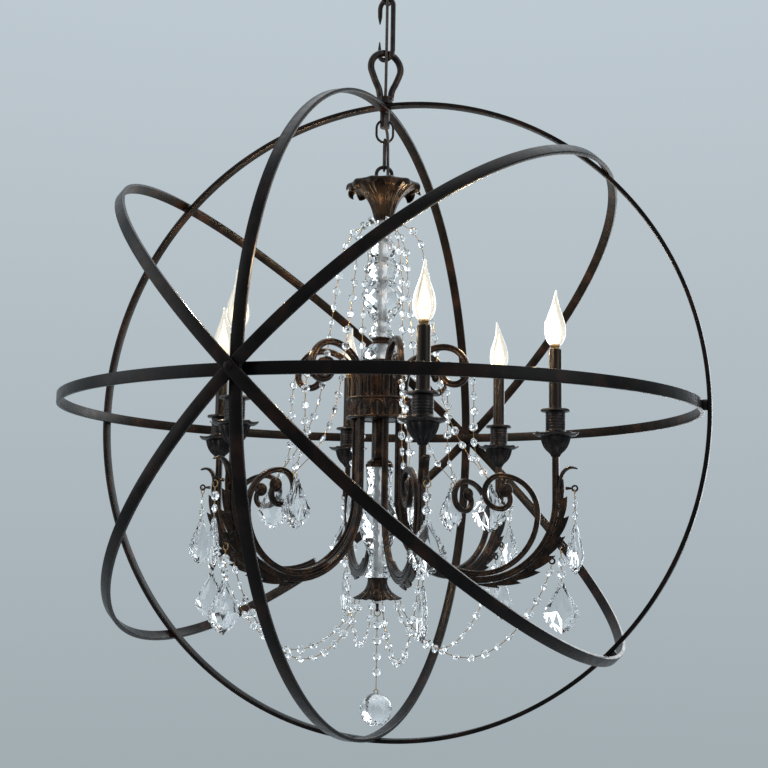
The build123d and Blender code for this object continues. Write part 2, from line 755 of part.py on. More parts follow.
def make_candles():
    cup = turned(
        [
            (-cup_height, 7),
            (-64, 14),
            (-50, 21),
            (-42, 22.5),
            (-40, cup_pan_radius - 2),
            (-36, cup_pan_radius),
            (-33, 15),
            (-10, 14),
            (-4, cup_flange_radius),
            (0, cup_flange_radius),
        ],
        cup_sides,
    )
    sleeve_top = stack_gap + sleeve_length
    sleeve = turned([(stack_gap, sleeve_radius), (sleeve_top, sleeve_radius)], 8, sleeve_radius - sleeve_wall)
    socket_base = sleeve_top - 2 - socket_length
    bore_corner = socket_bore_radius / math.cos(math.pi / 8)
    socket = turned(
        [
            (stack_gap, 3),
            (socket_base, 3),
            (socket_base, socket_radius),
            (sleeve_top - 2, socket_radius),
            (sleeve_top - 2, bore_corner),
            (socket_base + 2, bore_corner),
        ],
        8,
    )
    cap_base = sleeve_top - bulb_cap_length + 2
    cap = turned([(cap_base, bulb_cap_radius), (cap_base + bulb_cap_length, bulb_cap_radius)], bulb_sides)
    glass_base = cap_base + bulb_cap_length
    glass = turned(
        [
            (glass_base, bulb_cap_radius),
            (glass_base + 0.07 * bulb_length, 0.6 * bulb_radius),
            (glass_base + 0.19 * bulb_length, 0.93 * bulb_radius),
            (glass_base + 0.30 * bulb_length, bulb_radius),
            (glass_base + 0.44 * bulb_length, 0.9 * bulb_radius),
            (glass_base + 0.62 * bulb_length, 0.6 * bulb_radius),
            (glass_base + 0.82 * bulb_length, 0.27 * bulb_radius),
            (glass_base + bulb_length, 0.08 * bulb_radius),
        ],
        bulb_sides,
    )
    for k, azimuth in enumerate(arm_azimuths()):
        place = Pos(candle_circle_radius, 0, 0)
        keep("candle_cups", at_arm(place * cup, azimuth))
        keep("candle_sleeves", at_arm(place * sleeve, azimuth))
        keep("lamp_sockets", at_arm(place * socket, azimuth))
        keep(f"bulb_{k + 1}", at_arm(place * cap, azimuth), at_arm(place * glass, azimuth))


def bead():
    """An octagon bead with its outline in the YZ plane and a point on each side."""
    ring = Plane.YZ * RegularPolygon(bead_radius, 8, rotation=22.5)
    halves = [loft([ring.face(), Vertex(side * bead_half_thickness, 0, 0)]) for side in (-1, 1)]
    return halves[0] + halves[1]


def pin_between(start, end, start_margin=0.0, end_margin=0.0):
    """A thin straight pin between two points, kept back at either end."""
    line = end - start
    ahead = line.normalized()
    side = ahead.cross(Vector(0, 1, 0))
    plane = Plane(start + ahead * start_margin, x_dir=side, z_dir=ahead)
    return extrude(plane * RegularPolygon(pin_radius, 3), line.length - start_margin - end_margin)


def pendalogue(length):
    """A faceted almond drop hanging from z = 0."""
    width = drop_width_share * length / 2
    thick = drop_thickness_share * length / 2
    half = [(0.12, 0.0), (0.35, -0.12), (0.85, -0.45), (1.0, -0.62), (0.8, -0.82), (0.25, -0.98)]
    outline = [(width * y, length * z) for y, z in half]
    ring = [Vector(0, y, z) for y, z in outline] + [Vector(0, -y, z) for y, z in outline[::-1]]
    face = make_face(Polyline(*ring, ring[0])).face()
    tops = [loft([face, Vertex(side * thick, 0, -0.58 * length)]) for side in (-1, 1)]
    return tops[0] + tops[1]


def hook_ring():
    """A wire ring in the YZ plane whose wire's top centre lies at the origin."""
    points = [Vector(0, y, z) for y, z in stadium(hook_ring_radius, 2 * hook_ring_radius, 0)]
    return swept(points[::2], RegularPolygon(hook_ring_wire, 3), closed=True)


def hanging(bead_count, drop_length, drop=None):
    """A wire ring, beads on pins and a drop, hanging down from the origin."""
    reach = bead_radius * math.cos(math.radians(22.5))
    half_pin = bead_pitch / 2 - reach
    pieces = [hook_ring()]
    z = -2 * hook_ring_radius - hook_ring_wire - pin_play
    one_bead = bead()
    for _ in range(bead_count):
        pieces.append(pin_between(Vector(0, 0, z), Vector(0, 0, z - half_pin), 0, pin_play))
        z -= half_pin + reach
        pieces.append(Pos(0, 0, z) * one_bead)
        z -= reach
    pieces.append(pin_between(Vector(0, 0, z - pin_play), Vector(0, 0, z - half_pin), 0, pin_play))
    z -= half_pin
    pieces.append(Pos(0, 0, z) * (drop or Rot(0, 0, 90) * pendalogue(drop_length)))
    return Compound(children=pieces)


def strand(curve, count, tail=0.0):
    """Beads and pins along a curve in an arm's plane; the tail is bare wire before the far end."""
    length = curve.length
    pitch = (length - tail) / count
    reach = bead_radius * math.cos(math.radians(22.5)) + pin_play / 2
    one_bead = bead()
    centres = []
    pieces = []
    for k in range(count):
        here = curve.position_at((k + 0.5) * pitch / length)
        ahead = curve.tangent_at((k + 0.5) * pitch / length)
        centres.append(here)
        pieces.append(Plane(here, x_dir=ahead.cross(Vector(0, 1, 0)), z_dir=ahead) * one_bead)
    for before, after in zip(centres, centres[1:]):
        pieces.append(pin_between(before, after, reach, reach))
    pieces.append(pin_between(curve.position_at(0), centres[0], 0, reach))
    pieces.append(pin_between(centres[-1], curve.position_at(1), reach, 0))
    return pieces


def make_crystals():
    eyes = leaf_eyes()
    curl_r, curl_z = scroll_curl_centre()
    hold = scroll_bends[2][0] + scroll_bar / 2
    slope = math.sqrt(0.5)
    top_of_scroll = (curl_r - slope * (hold + contact_gap), curl_z + slope * (hold + contact_gap))
    side_of_scroll = (curl_r - slope * (hold - 2), curl_z + slope * (hold - 2))
    beside = scroll_bar / 2 + pin_radius + contact_gap
    crown_curve = Spline(
        (crown_neck_radius - 0.6, 0, crown_base_z - 0.8),
        (40, 5, crown_base_z - 9),
        (60, 10, 270),
        (68, 14, 228),
        (84, strand_offset, 110),
        (104, strand_offset, 0),
        (144, strand_offset, -74),
        (side_of_scroll[0], beside, side_of_scroll[1]),
    )
    curl_outer = hub_arm_radius + arm_curl_bends[0][0] + arm_curl_bends[1][0] + arm_thickness / 2
    curl_curve = Spline(
        (curl_outer + contact_gap + pin_radius, 0, 58),
        (curl_outer + 5, 0, 34),
        (curl_outer + 6, 0, -50),
        (top_of_scroll[0], 0, top_of_scroll[1]),
    )
    swag_r, swag_z = eyes["swag"]
    arms_lowest = arm_bend_z - (candle_circle_radius - hub_arm_radius) / 2
    swag_curve = Spline(
        (swag_r - 1, 0, swag_z - leaf_eye_radius - leaf_eye_wall - contact_gap),
        (candle_circle_radius - 50, 0, arms_lowest - 60),
        (candle_circle_radius - 136, 0, arms_lowest - 116),
        (bell_rim_radius + 34, 0, bell_base_z - 54),
        (bell_rim_radius - 1.5, 0, bell_base_z - 1),
    )
    strands = (
        ("crown_strands", strand(crown_curve, 17, crown_strand_tail)),
        ("curl_strands", strand(curl_curve, 7)),
        ("swags", strand(swag_curve, 15)),
    )
    for name, pieces in strands:
        for azimuth in arm_azimuths():
            for piece in pieces:
                keep(name, at_arm(piece, azimuth))
    play = leaf_eye_radius - hook_ring_wire - hang_play
    outer = hanging(2, small_drop_length)
    low = hanging(2, large_drop_length)
    for k, azimuth in enumerate(arm_azimuths()):
        r, z = eyes["outer"]
        keep(f"outer_drop_{k + 1}", at_arm(Pos(r, 0, z - play) * outer, azimuth))
        r, z = eyes["drop"]
        keep(f"low_drop_{k + 1}", at_arm(Pos(r, 0, z - play) * low, azimuth))
    facets = [(-ball_radius, 7), (-17, 19), (0, ball_radius), (17, 19), (ball_radius, 7)]
    ball = Pos(0, 0, -ball_radius) * turned(facets, 12)
    eye_z = bell_base_z - finial_length + 3.5
    keep("ball_drop", Rot(0, 0, 90) * Pos(0, 0, eye_z - play) * hanging(ball_bead_count, 0, ball))


make_hoops()
make_canopy(make_suspension())
make_column()
make_arms()
make_candles()
make_crystals()

os.makedirs("parts", exist_ok=True)
for name, solids in parts.items():
    moved = [Pos(0, 0, -ceiling) * solid for solid in solids]
    export_step(moved[0] if len(moved) == 1 else Compound(children=moved), f"parts/{name}.step")
print(f"{len(parts)} parts, ceiling {ceiling:.1f} above the orb's centre")
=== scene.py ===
from math import atan2, copysign, cos, pi, radians, sin, sqrt

import bmesh
import bpy
from mathutils import Matrix, Vector


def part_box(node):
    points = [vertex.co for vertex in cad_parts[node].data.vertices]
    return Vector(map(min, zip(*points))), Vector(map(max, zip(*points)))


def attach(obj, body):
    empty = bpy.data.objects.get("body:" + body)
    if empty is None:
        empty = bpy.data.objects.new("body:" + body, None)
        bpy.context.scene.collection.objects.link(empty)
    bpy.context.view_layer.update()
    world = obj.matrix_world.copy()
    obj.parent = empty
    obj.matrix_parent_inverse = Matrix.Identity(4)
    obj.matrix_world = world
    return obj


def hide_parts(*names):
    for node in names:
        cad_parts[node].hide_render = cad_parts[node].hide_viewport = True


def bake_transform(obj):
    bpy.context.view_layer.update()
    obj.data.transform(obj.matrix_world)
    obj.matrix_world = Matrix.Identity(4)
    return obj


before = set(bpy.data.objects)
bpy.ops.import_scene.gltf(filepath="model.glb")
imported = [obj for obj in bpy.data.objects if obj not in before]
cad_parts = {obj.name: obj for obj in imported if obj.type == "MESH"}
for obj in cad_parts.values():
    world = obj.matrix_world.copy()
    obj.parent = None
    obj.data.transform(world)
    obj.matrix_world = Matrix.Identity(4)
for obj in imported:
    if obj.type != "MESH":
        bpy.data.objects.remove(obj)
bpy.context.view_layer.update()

# Shapes are written in millimetres about the orb's centre, z up; making a piece moves them into the frame.
low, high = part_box("equator_ring")
ORB_Z = (low.z + high.z) / 2
MM = 0.001
ARMS = 6
AZIMUTHS = [32.0 + 60.0 * k for k in range(ARMS)]


# ---- geometry ------------------------------------------------------------------------------------
def direction(angle, length=1.0):
    return Vector((cos(radians(angle)) * length, sin(radians(angle)) * length, 0))


class Shape:
    """Points and faces gathered into one mesh."""

    def __init__(self):
        self.points = []
        self.faces = []

    def add(self, made, turn=None):
        points, faces = made
        base = len(self.points)
        self.points.extend(turn @ Vector(p) if turn else Vector(p) for p in points)
        self.faces.extend(tuple(base + k for k in face) for face in faces)
        return self


def both(*parts):
    shape = Shape()
    for part in parts:
        shape.add(part)
    return shape.points, shape.faces


def grid(rows, around=True, along=False, caps=False):
    count, size = len(rows), len(rows[0])
    faces = []
    for i in range(count if along else count - 1):
        a, b = i * size, (i + 1) % count * size
        for k in range(size if around else size - 1):
            n = (k + 1) % size
            faces.append((a + k, a + n, b + n, b + k))
    if caps:
        faces += ends(count, size)
    return [Vector(p) for row in rows for p in row], faces


def ends(count, size):
    """The faces that close the first and the last row."""
    return [tuple(range(size))[::-1], tuple((count - 1) * size + k for k in range(size))]


def zigzag(rows, turned):
    """Rows joined by flat facets; turned says which rows stand half a step round from the others."""
    size = len(rows[0])
    faces = []
    for i in range(len(rows) - 1):
        a, b = i * size, (i + 1) * size
        for k in range(size):
            n = (k + 1) % size
            if turned[i] == turned[i + 1]:
                faces.append((a + k, a + n, b + n, b + k))
            elif turned[i + 1]:
                faces += [(a + k, a + n, b + k), (a + n, b + n, b + k)]
            else:
                faces += [(a + k, b + n, b + k), (a + k, a + n, b + n)]
    return [Vector(p) for row in rows for p in row], faces + ends(len(rows), size)


def between(p, q, r, w, t):
    """A value on the way from q to r, with p before them and w after."""
    return 0.5 * (2 * q + (r - p) * t + (2 * p - 5 * q + 4 * r - w) * t * t + (3 * q - p - 3 * r + w) * t**3)


def eased(points, steps=5):
    """A smooth line through the points."""
    made = []
    for k in range(len(points) - 1):
        a, b, c, d = (points[min(max(k + j, 0), len(points) - 1)] for j in (-1, 0, 1, 2))
        for s in range(steps):
            made.append(tuple(between(*four, s / steps) for four in zip(a, b, c, d)))
    return made + [tuple(points[-1])]


def lathe(profile, sides=48, change=None, caps=True, closed=False):
    """A turning about Z through (z, radius) pairs; change(angle, z, radius, k) may carve it."""
    rows = []
    for k, (z, r) in enumerate(profile):
        row = []
        for n in range(sides):
            angle = 2 * pi * n / sides
            height, radius = change(angle, z, r, k) if change else (z, r)
            row.append((radius * cos(angle), radius * sin(angle), height))
        rows.append(row)
    return grid(rows, along=closed, caps=caps and not closed)


def circle(radius, z, sides, shift=0.0):
    """A level circle of points about Z."""
    angles = [2 * pi * n / sides + shift for n in range(sides)]
    return [(radius * cos(a), radius * sin(a), z) for a in angles]


def cut_glass(profile, sides):
    """A turning with flat triangular facets, every other row half a step round."""
    turned = [k % 2 for k in range(len(profile))]
    return zigzag([circle(r, z, sides, pi / sides * t) for t, (z, r) in zip(turned, profile)], turned)


def tube(points, radius, sides=12, closed=False):
    """A round wire along the points; radius is a number or a function of the share of its length."""
    points = [Vector(p) for p in points]
    count = len(points)
    rows = []
    side = None
    for k, p in enumerate(points):
        if closed:
            ahead = points[(k + 1) % count] - points[k - 1]
        else:
            ahead = points[min(k + 1, count - 1)] - points[max(k - 1, 0)]
        ahead.normalize()
        if side is None:
            side = ahead.orthogonal()
        side = (side - ahead * side.dot(ahead)).normalized()
        other = ahead.cross(side)
        r = radius(k / (count - 1)) if callable(radius) else radius
        rows.append([p + side * x + other * y for x, y, _ in circle(r, 0, sides)])
    return grid(rows, along=closed, caps=not closed)


def wire_ring(centre, radius, wire, along=(1, 0, 0), step=20, sides=8):
    """A closed ring of wire that stands upright, with its level direction along the given one."""
    points = []
    for a in range(0, 360, step):
        angle = radians(a)
        out = Vector(along) * (radius * cos(angle))
        points.append(Vector(centre) + out + Vector((0, 0, radius * sin(angle))))
    return tube(points, wire, sides, True)


def trace(start, heading, moves, step=6.0):
    """Points along tangent moves: (length,) runs straight, (radius, sweep) bends, to the left if positive."""
    x, y = start
    points = [(x, y)]
    for move in moves:
        if len(move) == 1:
            pieces = max(1, int(move[0] / 12))
            for _ in range(pieces):
                x += move[0] / pieces * cos(radians(heading))
                y += move[0] / pieces * sin(radians(heading))
                points.append((x, y))
            continue
        radius, sweep = move
        pieces = max(3, round(abs(sweep) / step))
        side = copysign(1, sweep)
        centre_x = x - side * radius * sin(radians(heading))
        centre_y = y + side * radius * cos(radians(heading))
        for _ in range(pieces):
            heading += sweep / pieces
            x = centre_x + side * radius * sin(radians(heading))
            y = centre_y - side * radius * cos(radians(heading))
            points.append((x, y))
    return points


def upright(points, angle=0.0):
    along = direction(angle)
    return [along * r + Vector((0, 0, z)) for r, z in points]


def stadium(bend, height, top):
    run = height - 2 * bend
    side = [(run,)] if run > 0.01 else []
    moves = [(bend, 90)] + side + [(bend, 180)] + side + [(bend, 90)]
    return trace((0, top), 180, moves, 12.0)[:-1]


def bar(path, section, scale=None):
    """A moulded bar in the XZ plane; the section is (across, outward) pairs."""
    rows = []
    count = len(path)
    for k, (r, z) in enumerate(path):
        before, after = path[max(k - 1, 0)], path[min(k + 1, count - 1)]
        ahead = Vector((after[0] - before[0], after[1] - before[1])).normalized()
        normal = (ahead.y, -ahead.x)
        size = scale(k / (count - 1)) if scale else 1.0
        rows.append([(r + normal[0] * n * size, y * size, z + normal[1] * n * size) for y, n in section])
    return grid(rows, caps=True)


def dome(radius, rise=1.0, sides=24):
    """A ball, squeezed along Z by rise."""
    angles = [pi * k / 12 for k in range(1, 12)]
    return lathe([(-radius * rise * cos(a), radius * sin(a)) for a in angles], sides)


def moved(x, y, z):
    return Matrix.Translation((x, y, z))


def rotated(angle, axis):
    return Matrix.Rotation(radians(angle), 4, axis)


def arm_turn(azimuth):
    return rotated(azimuth - 90, "Z")


# ---- pieces --------------------------------------------------------------------------------------
def to_frame(point):
    return Vector((point[0] * MM, point[1] * MM, ORB_Z + point[2] * MM))


def show(name, data):
    made = bpy.data.objects.new(name, data)
    bpy.context.scene.collection.objects.link(made)
    return made


def mesh_piece(name, shape, material, angle=35.0):
    """A mesh from the shape, smooth up to the angle between faces; angle 0 leaves every facet flat."""
    if isinstance(shape, tuple):
        shape = Shape().add(shape)
    mesh = bpy.data.meshes.new(name)
    mesh.from_pydata([to_frame(p) for p in shape.points], [], shape.faces)
    work = bmesh.new()
    work.from_mesh(mesh)
    bmesh.ops.recalc_face_normals(work, faces=work.faces)
    work.to_mesh(mesh)
    work.free()
    mesh.materials.append(material)
    if angle:
        mesh.shade_smooth()
        mesh.set_sharp_from_angle(angle=radians(angle))
    return show(name, mesh)


def piece(name, shape, material, body, nodes=(), angle=35.0):
    made = mesh_piece(name, shape, material, angle)
    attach(made, body)
    if nodes:
        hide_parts(*nodes)
    return made


def bronze(name, shape, node, angle=35.0):
    piece(name, shape, BRONZE, "chandelier", [node], angle)


def chain(name, shape, body, node):
    piece(name, shape, CHAIN, body, [node])


def crystal(name, shape, body, *nodes):
    piece(name, shape, CRYSTAL, body, nodes, 0)


def brass(name, shape, body):
    piece(name, shape, BRASS, body)


# ---- materials -----------------------------------------------------------------------------------
def fill(node, values):
    for name, value in values.items():
        node.inputs[name].default_value = value


class Nodes:
    """The nodes of a material or of the world, in the few kinds used here."""

    def __init__(self, owner, place="Object"):
        owner.use_nodes = True
        self.owner = owner
        self.tree = owner.node_tree
        self.shader = self.tree.nodes.get("Principled BSDF")
        self.place = self.add("TexCoord").outputs[place]

    def add(self, kind, **settings):
        node = self.tree.nodes.new(f"ShaderNode{kind}")
        for key, value in settings.items():
            setattr(node, key, value)
        return node

    def link(self, a, b):
        self.tree.links.new(a, b)

    def noise(self, scale, detail=4.0, stretch=None):
        node = self.add("TexNoise")
        fill(node, {"Scale": scale, "Detail": detail})
        source = self.place
        if stretch:
            mapping = self.add("Mapping")
            fill(mapping, {"Scale": stretch})
            self.link(source, mapping.inputs["Vector"])
            source = mapping.outputs["Vector"]
        self.link(source, node.inputs["Vector"])
        return node.outputs["Fac"]

    def ramp(self, factor, *stops):
        node = self.add("ValToRGB")
        ramp = node.color_ramp
        while len(ramp.elements) < len(stops):
            ramp.elements.new(0.5)
        for element, (at, colour) in zip(ramp.elements, stops):
            element.position = at
            element.color = (*colour, 1)
        self.link(factor, node.inputs["Fac"])
        return node.outputs["Color"]

    def mix(self, factor, a, colour):
        node = self.add("Mix", data_type="RGBA")
        self.link(factor, node.inputs["Factor"])
        self.link(a, node.inputs[6])
        node.inputs[7].default_value = (*colour, 1)
        return node.outputs[2]

    def span(self, factor, low, high, source=(0.3, 0.7)):
        node = self.add("MapRange")
        fill(node, {"From Min": source[0], "From Max": source[1], "To Min": low, "To Max": high})
        self.link(factor, node.inputs["Value"])
        return node.outputs["Result"]

    def bump(self, height, strength, distance):
        node = self.add("Bump")
        fill(node, {"Strength": strength, "Distance": distance})
        self.link(height, node.inputs["Height"])
        self.link(node.outputs["Normal"], self.shader.inputs["Normal"])


def metal(name, tones, rough, metallic, grain, wear, bump=0.25, stretch=None, gloss=0.3):
    """Patinated metal: a mottled ground, brighter where corners are rubbed, with a fine cast skin."""
    dark, base, bloom = tones
    worn = tuple(min(1, 1.9 * c + 0.02) for c in bloom)
    nodes = Nodes(bpy.data.materials.new(name))
    shader = nodes.shader
    fill(shader, {"Metallic": metallic, "Specular IOR Level": gloss})
    ground = nodes.ramp(nodes.noise(grain, 5.0, stretch), (0.3, dark), (0.5, base), (0.72, bloom))
    edges = nodes.add("NewGeometry").outputs["Pointiness"]
    rubbed = nodes.span(edges, 0.0, wear, (0.52, 0.62))
    nodes.link(nodes.mix(rubbed, ground, worn), shader.inputs["Base Color"])
    nodes.link(nodes.span(nodes.noise(grain * 3.3, 3.0, stretch), *rough), shader.inputs["Roughness"])
    nodes.bump(nodes.noise(grain * 12.0, 6.0, stretch), bump, 0.0004)
    return nodes.owner


def glass(name, tint, deep, ior, coat=0.0, glow_colour=None, glow_strength=0.0):
    """Clear glass with a faint cloudiness; a lamp's has a coat and a glow of its own."""
    nodes = Nodes(bpy.data.materials.new(name))
    shader = nodes.shader
    fill(shader, {"Transmission Weight": 1.0, "IOR": ior, "Coat Weight": coat, "Coat Roughness": 0.03})
    if glow_colour:
        fill(shader, {"Emission Color": (*glow_colour, 1), "Emission Strength": glow_strength})
    nodes.link(nodes.ramp(nodes.noise(90.0), (0.35, deep), (0.65, tint)), shader.inputs["Base Color"])
    nodes.link(nodes.span(nodes.noise(450.0), 0.0, 0.02), shader.inputs["Roughness"])
    nodes.bump(nodes.noise(810.0), 0.05, 0.0002)
    return nodes.owner


def glow(name, colour, strength):
    """The lit heart of a lamp, in a warm colour with paler patches."""
    nodes = Nodes(bpy.data.materials.new(name))
    shader = nodes.shader
    fill(shader, {"Base Color": (*colour, 1), "Roughness": 0.5, "Emission Strength": strength})
    warm = nodes.ramp(nodes.noise(120.0, 2.0), (0.3, colour), (0.7, (1.0, 0.93, 0.8)))
    nodes.link(warm, shader.inputs["Emission Color"])
    return nodes.owner


HOOP_TONES = ((0.0028, 0.0024, 0.0024), (0.005, 0.004, 0.0036), (0.018, 0.009, 0.007))
BRONZE_TONES = ((0.004, 0.0028, 0.002), (0.011, 0.006, 0.0035), (0.045, 0.021, 0.01))
GOLD_TONES = ((0.0035, 0.0022, 0.0014), (0.009, 0.0052, 0.003), (0.034, 0.018, 0.009))
BLACK_TONES = ((0.004, 0.0035, 0.0035), (0.01, 0.008, 0.008), (0.035, 0.025, 0.024))
CHAIN_TONES = ((0.005, 0.004, 0.004), (0.014, 0.01, 0.009), (0.05, 0.032, 0.024))
SLEEVE_TONES = ((0.004, 0.003, 0.0025), (0.009, 0.006, 0.004), (0.03, 0.016, 0.008))
STEEL_TONES = ((0.2, 0.2, 0.205), (0.29, 0.295, 0.3), (0.4, 0.4, 0.4))
BRASS_TONES = ((0.1, 0.055, 0.022), (0.24, 0.14, 0.055), (0.42, 0.27, 0.12))
CORD_TONES = ((0.01, 0.008, 0.007), (0.025, 0.018, 0.015), (0.06, 0.045, 0.035))
HOOP = metal("hoop_bronze", HOOP_TONES, (0.24, 0.36), 0.12, 26, 0.04, bump=0.3, gloss=0.08)
BRONZE = metal("rubbed_bronze", BRONZE_TONES, (0.22, 0.4), 0.6, 60, 0.16)
GOLD = metal("crown_bronze", GOLD_TONES, (0.24, 0.42), 0.75, 55, 0.2)
BLACK = metal("cup_black", BLACK_TONES, (0.24, 0.4), 0.6, 90, 0.15)
CHAIN = metal("chain_bronze", CHAIN_TONES, (0.26, 0.44), 0.6, 70, 0.06)
SLEEVE = metal("sleeve_bronze", SLEEVE_TONES, (0.22, 0.34), 0.6, 120, 0.1, bump=0.1, stretch=(1, 1, 0.08))
STEEL = metal("plated_steel", STEEL_TONES, (0.28, 0.42), 1.0, 80, 0.3, bump=0.12, stretch=(1, 8, 1))
BRASS = metal("wire_brass", BRASS_TONES, (0.22, 0.38), 1.0, 150, 0.3, bump=0.1)
CORD = metal("cord_sheath", CORD_TONES, (0.35, 0.5), 0.0, 200, 0.1, bump=0.3)
CRYSTAL = glass("cut_crystal", (1.0, 1.0, 1.0), (0.95, 0.97, 0.985), 1.6)
LAMP = glass("lamp_glass", (1.0, 0.985, 0.95), (0.98, 0.95, 0.88), 1.1, 1.0, (1.0, 0.78, 0.5), 0.2)
GLOW = glow("lamp_glow", (1.0, 0.78, 0.44), 0.95)


# ---- the orb's hoops -----------------------------------------------------------------------------
BAR_HALF_WIDTH, BAR_HALF_THICK, BAR_CORNER = 8.0, 3.0, 1.0


def bar_section(steps=3):
    """The flat bar with rounded corners, as (across, outward) pairs."""
    points = []
    for sx, sy, start in ((1, 1, 0), (-1, 1, 90), (-1, -1, 180), (1, -1, 270)):
        for k in range(steps + 1):
            angle = radians(start + 90 * k / steps)
            across = sx * (BAR_HALF_WIDTH - BAR_CORNER) + BAR_CORNER * cos(angle)
            points.append((across, sy * (BAR_HALF_THICK - BAR_CORNER) + BAR_CORNER * sin(angle)))
    return points


def hoop(radius, sides=240):
    section = bar_section()
    rows = []
    for k in range(sides):
        out = direction(360 * k / sides)
        rows.append([out * (radius + n) + Vector((0, 0, y)) for y, n in section])
    return grid(rows, along=True)


EQUATOR_R, SIDE_R, FACE_R, RISING_R, FALLING_R = 487.8, 493.9, 500.0, 506.1, 512.2
HOOPS = {
    "equator_ring": (EQUATOR_R, Matrix.Identity(4)),
    "side_ring": (SIDE_R, rotated(90, "Y")),
    "face_ring": (FACE_R, rotated(90, "X")),
    "rising_ring": (RISING_R, rotated(-45, "Y")),
    "falling_ring": (FALLING_R, rotated(45, "Y")),
}
for name, (radius, turn) in HOOPS.items():
    piece(name.replace("ring", "hoop"), Shape().add(hoop(radius), turn), HOOP, "orb", [name])

# Each pole has a bolt through all the hoops, a domed head at either end, and spacers where bars don't meet.
BOLT_OUT, BOLT_IN, BOLT_R = 515.3, 484.7, 2.5
bolts = Shape()
head = [(0, 5.3), (0.8, 5.5), (1.5, 4.9), (2.1, 3.4), (2.4, 1.2)]
washer = [(-3.0, 7.4), (-2.6, 8.0), (2.6, 8.0), (3.0, 7.4)]
for side in (-1, 1):
    out = rotated(-90 * side, "X")
    bolts.add(lathe([(z + BOLT_OUT, r) for z, r in head], 24), out)
    bolts.add(lathe([(BOLT_IN - z, r) for z, r in head], 24), out)
    bolts.add(lathe([(BOLT_IN, BOLT_R), (BOLT_OUT, BOLT_R)], 16), out)
    bolts.add(lathe([(z + FACE_R, r) for z, r in washer], 32), out)
    across = rotated(90 * side, "Y")
    bolts.add(lathe([(z + SIDE_R, r) for z, r in washer], 32), across)
    down = rotated(135 if side > 0 else -45, "Y")
    bolts.add(lathe([(z + RISING_R, r) for z, r in washer], 32), down)
piece("pole_bolts_and_spacers", bolts, HOOP, "orb", ["hoop_bolts"])


# ---- canopy, chain, hook and loops ---------------------------------------------------------------
CEILING = -ORB_Z / MM
CANOPY_BORE = 5.2
canopy_fall = [(0, 64.5), (2, 65.0), (4, 64.0), (5, 62.0), (11, 61.5), (17, 54.0), (23.5, 40.5), (28, 28.0)]
canopy_fall += [(30, 20.0), (31, 17.5), (32, 16.0)]
canopy_line = eased([(CEILING - fall, r) for fall, r in canopy_fall], 4)
lining = [(z + 1.2, max(r - 1.4, CANOPY_BORE)) for z, r in canopy_line if z < CEILING - 4]
lining = [(CEILING, 62.5)] + lining + [(CEILING - 30.8, CANOPY_BORE), (CEILING - 32, CANOPY_BORE)]
canopy = lathe(canopy_line + lining[::-1], 72, closed=True)
chain("ceiling_canopy", canopy, "canopy_body", "canopy")

collar = [(767.5, 12.5), (768.0, 13.8), (769.3, 14.0), (770.2, 12.6), (772.8, 12.2), (775.3, 12.8)]
collar += [(776.2, 14.0), (777.0, 13.6), (777.2, 12.0)]
canopy_loop = Shape().add(tube(upright(stadium(13.0, 26.0, 768.5), 70), 3.5, 14, closed=True))
canopy_loop.add(lathe(collar, 48))
chain("canopy_eye", canopy_loop, "canopy_body", "canopy_loop")

for name, node, top, plane, body in (
    ("upper_chain_link", "chain_link_1", 749.8, -20, "upper_link"),
    ("lower_chain_link", "chain_link_2", 716.6, 70, "lower_link"),
):
    link = tube(upright(stadium(10.0, 40.0, top), plane), 3.0, 14, closed=True)
    chain(name, link, body, node)


def narrowing(end, share=0.06):
    """Full radius along the wire, rounded off at both tips."""
    return lambda s: end * sqrt(max(0.06, 1 - (1 - min(1, min(s, 1 - s) / share)) ** 2))


HOOK_BEND = 14.0
hook_moves = [(20.0,), (HOOK_BEND, 180), (76.0,), (HOOK_BEND, 180), (25.0,)]
hook = tube(upright(trace((-HOOK_BEND, 614.4), -90, hook_moves, 8), -20), narrowing(4.0, 0.03), 16)
chain("open_hook", hook, "hook", "s_hook")

LOOP_BEND, SHOULDER = 26.0, 565.5
flank = eased([(9.0, 513.0), (11.5, 528.0), (19.0, 544.0), (25.4, 560.0)], 5)
crest = [(LOOP_BEND * x, SHOULDER + LOOP_BEND * y) for x, y in (direction(a).xy for a in range(0, 91, 6))]
half = flank + crest
rod = [(-x, y) for x, y in half] + half[-2::-1]
loop = Shape().add(tube(upright(rod, 42), 5.5, 16))
loop_foot = [(503, 12.2), (503.6, 13), (506, 13), (507, 12), (510.5, 11.6), (511.5, 12.8), (514.2, 13)]
loop.add(lathe(loop_foot + [(515, 11.5)], 48))
chain("omega_loop", loop, "orb", "top_loop")

ring = tube(upright(stadium(13.5, 37.5, 477.2), 25), 2.0, 12, closed=True)
chain("round_jump_ring", ring, "stub_ring", "jump_ring")
oval = tube(upright(stadium(9.0, 51.8, 444.5), 115), 2.0, 12, closed=True)
chain("long_oval_link", oval, "oval", "oval_link")

crown_loop = Shape().add(tube(upright(stadium(12.5, 25.0, 398.5), 25), 3.0, 14, closed=True))
crown_seat = [(358.5, 14.0), (359.2, 15), (361, 15), (362, 13.6), (364.5, 13.2), (365.6, 14.4), (366.5, 12)]
crown_loop.add(lathe(crown_seat + [(368, 7), (370, 5.2), (374.2, 5)], 40))
chain("crown_eye", crown_loop, "chandelier", "crown_loop")


# ---- supply cord ---------------------------------------------------------------------------------
CORD_R, CORD_TOP, CORD_BOSS, CORD_FOOT = 2.4, 773.5, 499.8, 361.5


def beside(along, across, z):
    """A point near the axis: so far along the jump ring's plane, so far across it."""
    return direction(25, along) + direction(-65, across) + Vector((0, 0, z))


